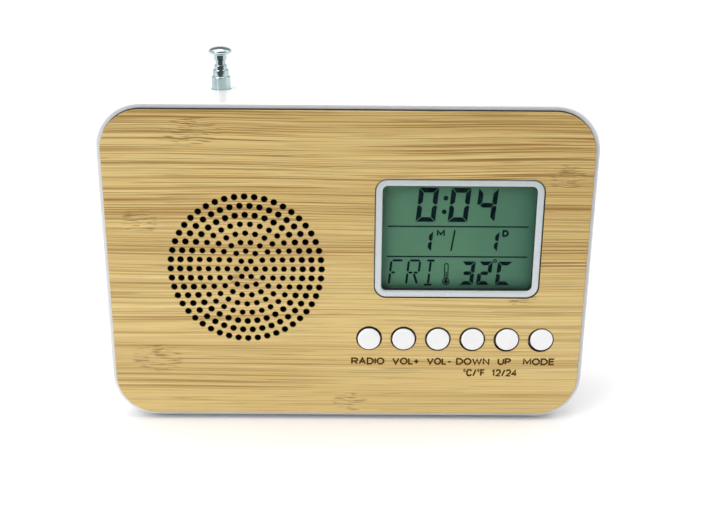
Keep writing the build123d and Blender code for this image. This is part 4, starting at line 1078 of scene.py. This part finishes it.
@dataclass
class Display:
    """Display in its silver frame, with the figures that it shows."""

    rise: float = 0.02
    rows: tuple[tuple[Digits, float, str, tuple[float, ...]], ...] = (
        (Digits(height=10.8, width=6.0, bar=1.5), 66.4, "004", (20.6, 30.4, 38.7)),
        (Digits(height=6.6, width=3.9, bar=1.15), 56.8, "11", (21.7, 42.1)),
        (Digits(height=7.8, width=4.3, bar=1.25), 45.8, "32", (34.7, 40.0)),
        (Digits(height=7.8, width=4.6, bar=1.25), 45.8, "C", (45.9,)),
    )
    marks_z: Point = (61.7, 63.9)
    marks: tuple[Label, ...] = (("M", 27.2, 29.8), ("D", 47.4, 49.4))
    mark_width: float = 0.6
    rules: tuple[Line, ...] = (((12.1, 64.9), (55.5, 64.9)), ((12.1, 55.1), (55.5, 55.1)))
    rule_width: float = 0.44
    slash: Line = ((31.8, 57.0), (32.8, 63.8))
    slash_width: float = 0.5
    tube: tuple[Line, ...] = (
        ((30.05, 48.0), (30.05, 52.5)),
        ((31.15, 48.0), (31.15, 52.5)),
        ((30.05, 52.5), (30.6, 53.0)),
        ((31.15, 52.5), (30.6, 53.0)),
    )
    tube_width: float = 0.32
    mercury: Line = ((30.6, 47.3), (30.6, 50.1))
    mercury_width: float = 0.36
    bulb: Point = (30.6, 46.9)
    bulb_radii: Point = (1.2, 0.84)
    core_radius: float = 0.66
    degree_sign: Point = (45.6, 53.8)
    degree_radii: Point = (0.62, 0.28)
    colon: Line = ((29.2916, 69.64), (29.6804, 73.96))
    colon_radius: float = 0.75
    day_x: Place = (12.8, 18.2, 23.5)
    day_z: float = 45.8
    day_height: float = 8.0
    day_width: float = 3.5
    day_stem_x: float = 1.5
    day_gap: float = 0.2
    day_bar: float = 0.7

    def build(self) -> None:
        """Dress the stack and draw the figures."""
        dress(SilverPaintFinish(), "display_bezel")
        dress(LensFinish(), "display_lens")
        dress(LcdFinish(), "lcd_cell")
        foam = MouldedFinish("black_foam", Tone(22, 22, 23), Tone(34, 34, 35), 0.85, grain=0.3, depth=0.05)
        dress(foam, "display_gasket", "speaker_gasket")
        foil = MetalFinish("reflector_foil", Tone(206, 208, 204), Tone(186, 189, 185), 0.3)
        dress(foil, "lcd_reflector")
        strip = ClothFinish("contact_rubber", Tone(150, 152, 160), Tone(60, 62, 70), 0.3)
        dress(strip, "contact_strip")
        ink = MouldedFinish(
            "lcd_ink", Tone(5, 20, 27), Tone(12, 29, 36), 0.6, grain=0.2, depth=0.001, specular=0.0
        )
        settle(self.figures(ink.make()))

    def figures(self, ink: Material) -> Piece:
        """Make the time, date, day and temperature as thin dark figures on the cell.

        Args:
            ink: their finish.

        Returns:
            The piece.
        """
        relief = Relief("lcd_figures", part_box("lcd_cell")[0].y / MM, self.rise)
        for digits, z, figures, places in self.rows:
            for figure, x in zip(figures, places):
                digits.draw(relief, figure, x, z)
        relief.labels(self.marks, self.marks_z, self.mark_width)
        for lines, width in (
            (self.rules, self.rule_width),
            ((self.slash,), self.slash_width),
            (self.tube, self.tube_width),
            ((self.mercury,), self.mercury_width),
        ):
            for line in lines:
                relief.stroke(*line, width, 0.0)
        for dot in self.colon:
            relief.round(dot, self.colon_radius)
        relief.round(self.degree_sign, *self.degree_radii)
        relief.round(self.bulb, *self.bulb_radii)
        relief.round(self.bulb, self.core_radius)
        self.day(relief)
        return relief.finish(ink)

    def day(self, relief: Relief) -> None:
        """Draw the day of the week in thin bars.

        Args:
            relief: the relief to draw on.
        """
        top, half, gap = self.day_height, self.day_height / 2, self.day_gap
        wide, middle, stem = self.day_width, self.day_width / 2, self.day_stem_x
        flag = (
            ((gap, top), (wide, top)),
            ((0.0, half + gap), (0.0, top - gap)),
            ((0.0, gap), (0.0, half - gap)),
            ((gap, half), (middle - gap / 2, half)),
        )
        leg = (
            ((middle + gap / 2, half), (wide - gap, half)),
            ((wide, half + gap), (wide, top - gap)),
            ((middle + gap, half - gap * 1.5), (wide - gap / 2, gap)),
        )
        post = (
            ((gap, top), (stem * 2 - gap, top)),
            ((gap, 0.0), (stem * 2 - gap, 0.0)),
            ((stem, half + gap), (stem, top - gap * 1.5)),
            ((stem, gap * 1.5), (stem, half - gap)),
        )
        for x, bars in zip(self.day_x, (flag, flag + leg, post)):
            for bar in bars:
                start, end = ((x + px + LEAN * pz, self.day_z + pz) for px, pz in bar)
                relief.stroke(start, end, self.day_bar)


@dataclass
class CaseShells:
    """White case with its buttons, feet, screws and the door of the cell box."""

    def build(self) -> None:
        """Dress the case."""
        white = MouldedFinish("white_plastic", Tone(244, 244, 244), Tone(242, 242, 241), 0.22, coat=0.2)
        dress(white, "front_shell", "rear_shell", "battery_door", "door_latch")
        dress(CapFinish(), *("button_" + name for name in BUTTONS))
        nylon = MouldedFinish("plunger_nylon", Tone(196, 188, 168), Tone(182, 174, 152), 0.45)
        dress(nylon, *("plunger_" + name for name in BUTTONS))
        soft = MouldedFinish(
            "foot_rubber", Tone(216, 216, 214), Tone(204, 204, 201), 0.6, grain=0.25, depth=0.02
        )
        dress(soft, "rubber_feet")
        zinc = MetalFinish("zinc_plate", Tone(198, 199, 200), Tone(176, 176, 172), 0.3)
        dress(zinc, "case_screws", "board_screws", "speaker_screws", "antenna_screw")


@dataclass
class Antenna:
    """Chrome antenna of sliding tubes."""

    def build(self) -> None:
        """Dress the tubes and the knob."""
        chrome = MetalFinish(
            "polished_chrome",
            Tone(184, 202, 205),
            Tone(168, 188, 192),
            roughness=0.04,
            stretch=(6.0, 6.0, 0.3),
            depth=0.0002,
        )
        dress(chrome, "antenna_tube", "antenna_middle", "antenna_upper", "antenna_rod", "antenna_knob")


@dataclass
class Speaker:
    """Speaker behind the grille, with the dust cloth that shows through the holes."""

    cloth_rings: int = 12
    cloth_sides: int = 72
    cloth_thickness: float = 0.2
    cloth_sag: float = 0.05

    def build(self) -> None:
        """Dress the speaker and stretch the cloth."""
        steel = MetalFinish("pressed_steel", Tone(188, 189, 190), Tone(166, 166, 164), 0.35)
        dress(steel, "speaker_frame", "top_plate", "pole_yoke")
        rubber = MouldedFinish("surround_rubber", Tone(28, 28, 29), Tone(36, 36, 37), 0.6)
        dress(rubber, "speaker_surround")
        paper = MouldedFinish("cone_paper", Tone(52, 50, 49), Tone(66, 63, 61), 0.85, grain=0.6, depth=0.06)
        dress(paper, "speaker_cone", "dust_cap")
        copper = MetalFinish(
            "coil_wire", Tone(186, 112, 66), Tone(166, 96, 54), 0.3, stretch=(1.0, 14.0, 1.0), depth=0.05
        )
        dress(copper, "voice_coil")
        dress(ClothFinish("spider_cloth", Tone(176, 146, 92), Tone(128, 100, 58), 0.7), "speaker_spider")
        ferrite = MouldedFinish("ferrite", Tone(48, 48, 51), Tone(60, 60, 62), 0.55, grain=0.4, depth=0.02)
        dress(ferrite, "ring_magnet")
        cloth = ClothFinish("dust_cloth_weave", Tone(36, 46, 48), Tone(12, 18, 19))
        self.stretch_cloth(dress(cloth, "speaker_cloth"))

    def stretch_cloth(self, weave: Material) -> None:
        """Make the cloth: a round sheet, stretched over the opening and a little slack in its middle.

        Args:
            weave: its finish.
        """
        low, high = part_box("speaker_cloth")
        middle = (low + high) / 2
        radius = (high.x - low.x) / 2
        turns = [2 * math.pi * side / self.cloth_sides for side in range(self.cloth_sides)]
        shape = bmesh.new()
        hub = shape.verts.new((middle.x, middle.y + self.cloth_sag * MM, middle.z))
        rows = []
        for ring in range(1, self.cloth_rings + 1):
            share = ring / self.cloth_rings
            reach = radius * share
            y = middle.y + self.cloth_sag * (1 - share * share) * MM
            places = [(middle.x + reach * math.cos(a), y, middle.z + reach * math.sin(a)) for a in turns]
            rows.append([shape.verts.new(place) for place in places])
        for side in range(self.cloth_sides):
            after = (side + 1) % self.cloth_sides
            shape.faces.new((hub, rows[0][side], rows[0][after]))
            for inner, outer in zip(rows, rows[1:]):
                shape.faces.new((inner[side], outer[side], outer[after], inner[after]))
        bmesh.ops.recalc_face_normals(shape, faces=shape.faces)
        mesh = bpy.data.meshes.new("dust_cloth")
        shape.to_mesh(mesh)
        shape.free()
        mesh.materials.append(weave)
        cloth = add_object("dust_cloth", mesh)
        wall = cloth.modifiers.new("thickness", "SOLIDIFY")
        wall.thickness = self.cloth_thickness * MM
        wall.offset = 0.0
        settle(cloth)
        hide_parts("speaker_cloth")


@dataclass
class Works:
    """Circuit board, cells, contacts and leads inside the case."""

    def build(self) -> None:
        """Dress the inner pieces."""
        board = ClothFinish("circuit_board", Tone(40, 104, 58), Tone(26, 78, 42), 1.6)
        dress(board, "main_board", "terminal_strip")
        black = MouldedFinish("black_resin", Tone(26, 26, 28), Tone(34, 34, 36), 0.45)
        dress(black, "clock_chip", "radio_chip", "push_switches", "lcd_holder", "temperature_sensor")
        can = MetalFinish("crystal_can", Tone(204, 204, 202), Tone(186, 186, 182), 0.25)
        dress(can, "quartz_crystal")
        sleeve = MouldedFinish("capacitor_sleeve", Tone(30, 36, 84), Tone(40, 46, 96), 0.3, coat=0.3)
        dress(sleeve, "capacitors")
        dress(CellFinish(), "dry_cells")
        nickel = MetalFinish("nickel_plate", Tone(212, 208, 198), Tone(190, 186, 174), 0.25)
        dress(nickel, "cell_springs", "bridge_contact", "end_contacts")
        red = MouldedFinish("red_lead", Tone(170, 34, 30), Tone(150, 26, 24), 0.4)
        dress(red, "battery_leads")
        dark = MouldedFinish("black_lead", Tone(26, 26, 27), Tone(36, 36, 37), 0.4)
        dress(dark, "speaker_leads", "antenna_lead")


@dataclass(frozen=True)
class Softbox:
    """A soft studio light that points at the object."""

    name: str
    place: Place
    size: float
    power: float

    def hang(self, target: Vector) -> None:
        """Add the light.

        Args:
            target: the place that it is turned to.
        """
        lamp = bpy.data.lights.new(self.name, "AREA")
        lamp.shape = "SQUARE"
        lamp.size = self.size
        lamp.energy = self.power
        holder = add_object(self.name, lamp)
        holder.location = self.place
        holder.rotation_euler = (target - Vector(self.place)).to_track_quat("-Z", "Y").to_euler()


@dataclass
class Studio:
    """Pale floor, soft light and the camera."""

    floor_half_width: float = 3.0
    floor_front: float = -0.36
    floor_back: float = 0.5
    floor_tone: Tone = Tone(250, 249, 249)
    sky: float = 1.06
    front_dimming: float = 0.9
    rear_dimming: float = 0.75
    aim: Place = (0.0, 0.0, 0.05)
    camera_place: Place = (0.57, -328.61, 167.50)
    camera_turn: Place = (69.9956, -0.4783, -0.3257)
    focal_px: float = 1077.58
    picture_width: int = 717
    sensor: float = 36.0
    nearest: float = 0.01
    softboxes: tuple[Softbox, ...] = (
        Softbox("overhead", (-0.15, -0.12, 1.1), 1.2, 8.2),
        Softbox("left_front", (-0.62, -0.66, 0.5), 0.4, 2.2),
        Softbox("front_top", (-0.8, -0.85, 1.3), 0.7, 3.4),
        Softbox("right_fill", (0.7, 0.04, 0.7), 0.5, 0.8),
    )

    def build(self) -> None:
        """Lay the floor, hang the lights and set up the camera."""
        self.lay_floor()
        self.set_sky()
        for box in self.softboxes:
            box.hang(Vector(self.aim))
        self.set_camera()
        bpy.context.scene.view_settings.view_transform = "Standard"

    def lay_floor(self) -> None:
        """Add the floor under the feet."""
        side, front, back = self.floor_half_width, self.floor_front, self.floor_back
        mesh = bpy.data.meshes.new("floor")
        corners = [(-side, front, 0.0), (side, front, 0.0), (side, back, 0.0), (-side, back, 0.0)]
        mesh.from_pydata(corners, [], [(0, 1, 2, 3)])
        bench = Bench("floor_paper")
        mesh.materials.append(bench.surface(base_color=self.floor_tone, roughness=0.75))
        add_object("floor", mesh)

    def set_sky(self) -> None:
        """Surround the scene with white light.

        It is dim low down and straight ahead on the camera's side, where it would show in glossy surfaces,
        and high up behind, so that the white back keeps its shading.
        """
        world = bpy.data.worlds.new("studio")
        world.use_nodes = True
        sky = Wiring(world.node_tree)
        right, behind, above = sky.parts("ShaderNodeTexCoord", "Generated")
        front = 1.0 - sky.step(behind, -0.6, -0.05)
        ahead = (1.0 - sky.step(abs(right), 0.12, 0.38)) * (1.0 - sky.step(behind, -0.3, 0.1))
        low = front * (1.0 - sky.step(above, 0.68, 0.9))
        aside = sky.step(right, 0.1, 0.7) * front
        dim = sky.maths("MAXIMUM", sky.maths("MAXIMUM", low, ahead), aside) * self.front_dimming
        rear = sky.step(behind, 0.3, 0.8) * sky.step(above, 0.15, 0.45) * self.rear_dimming
        background = sky.tree.nodes["Background"]
        sky.feed(background.inputs["Strength"], self.sky * (1.0 - dim) * (1.0 - rear))
        sky.feed(background.inputs["Color"], (1.0, 1.0, 1.0, 1.0))
        bpy.context.scene.world = world

    def set_camera(self) -> None:
        """Place the camera where the photograph was taken from."""
        lens = bpy.data.cameras.new("camera")
        lens.sensor_width = self.sensor
        lens.lens = self.focal_px * self.sensor / self.picture_width
        lens.clip_start = self.nearest
        holder = add_object("camera", lens)
        holder.location = Vector(self.camera_place) * MM
        holder.rotation_euler = tuple(math.radians(angle) for angle in self.camera_turn)
        bpy.context.scene.camera = holder


def main() -> None:
    """Build the sub-assemblies in order, then the studio."""
    logging.basicConfig(level=logging.INFO, format="%(name)s: %(message)s")
    for assembly in (BambooFace(), Display(), CaseShells(), Antenna(), Speaker(), Works(), Studio()):
        LOG.info("building %s", type(assembly).__name__)
        assembly.build()


if __name__ == "__main__":
    main()
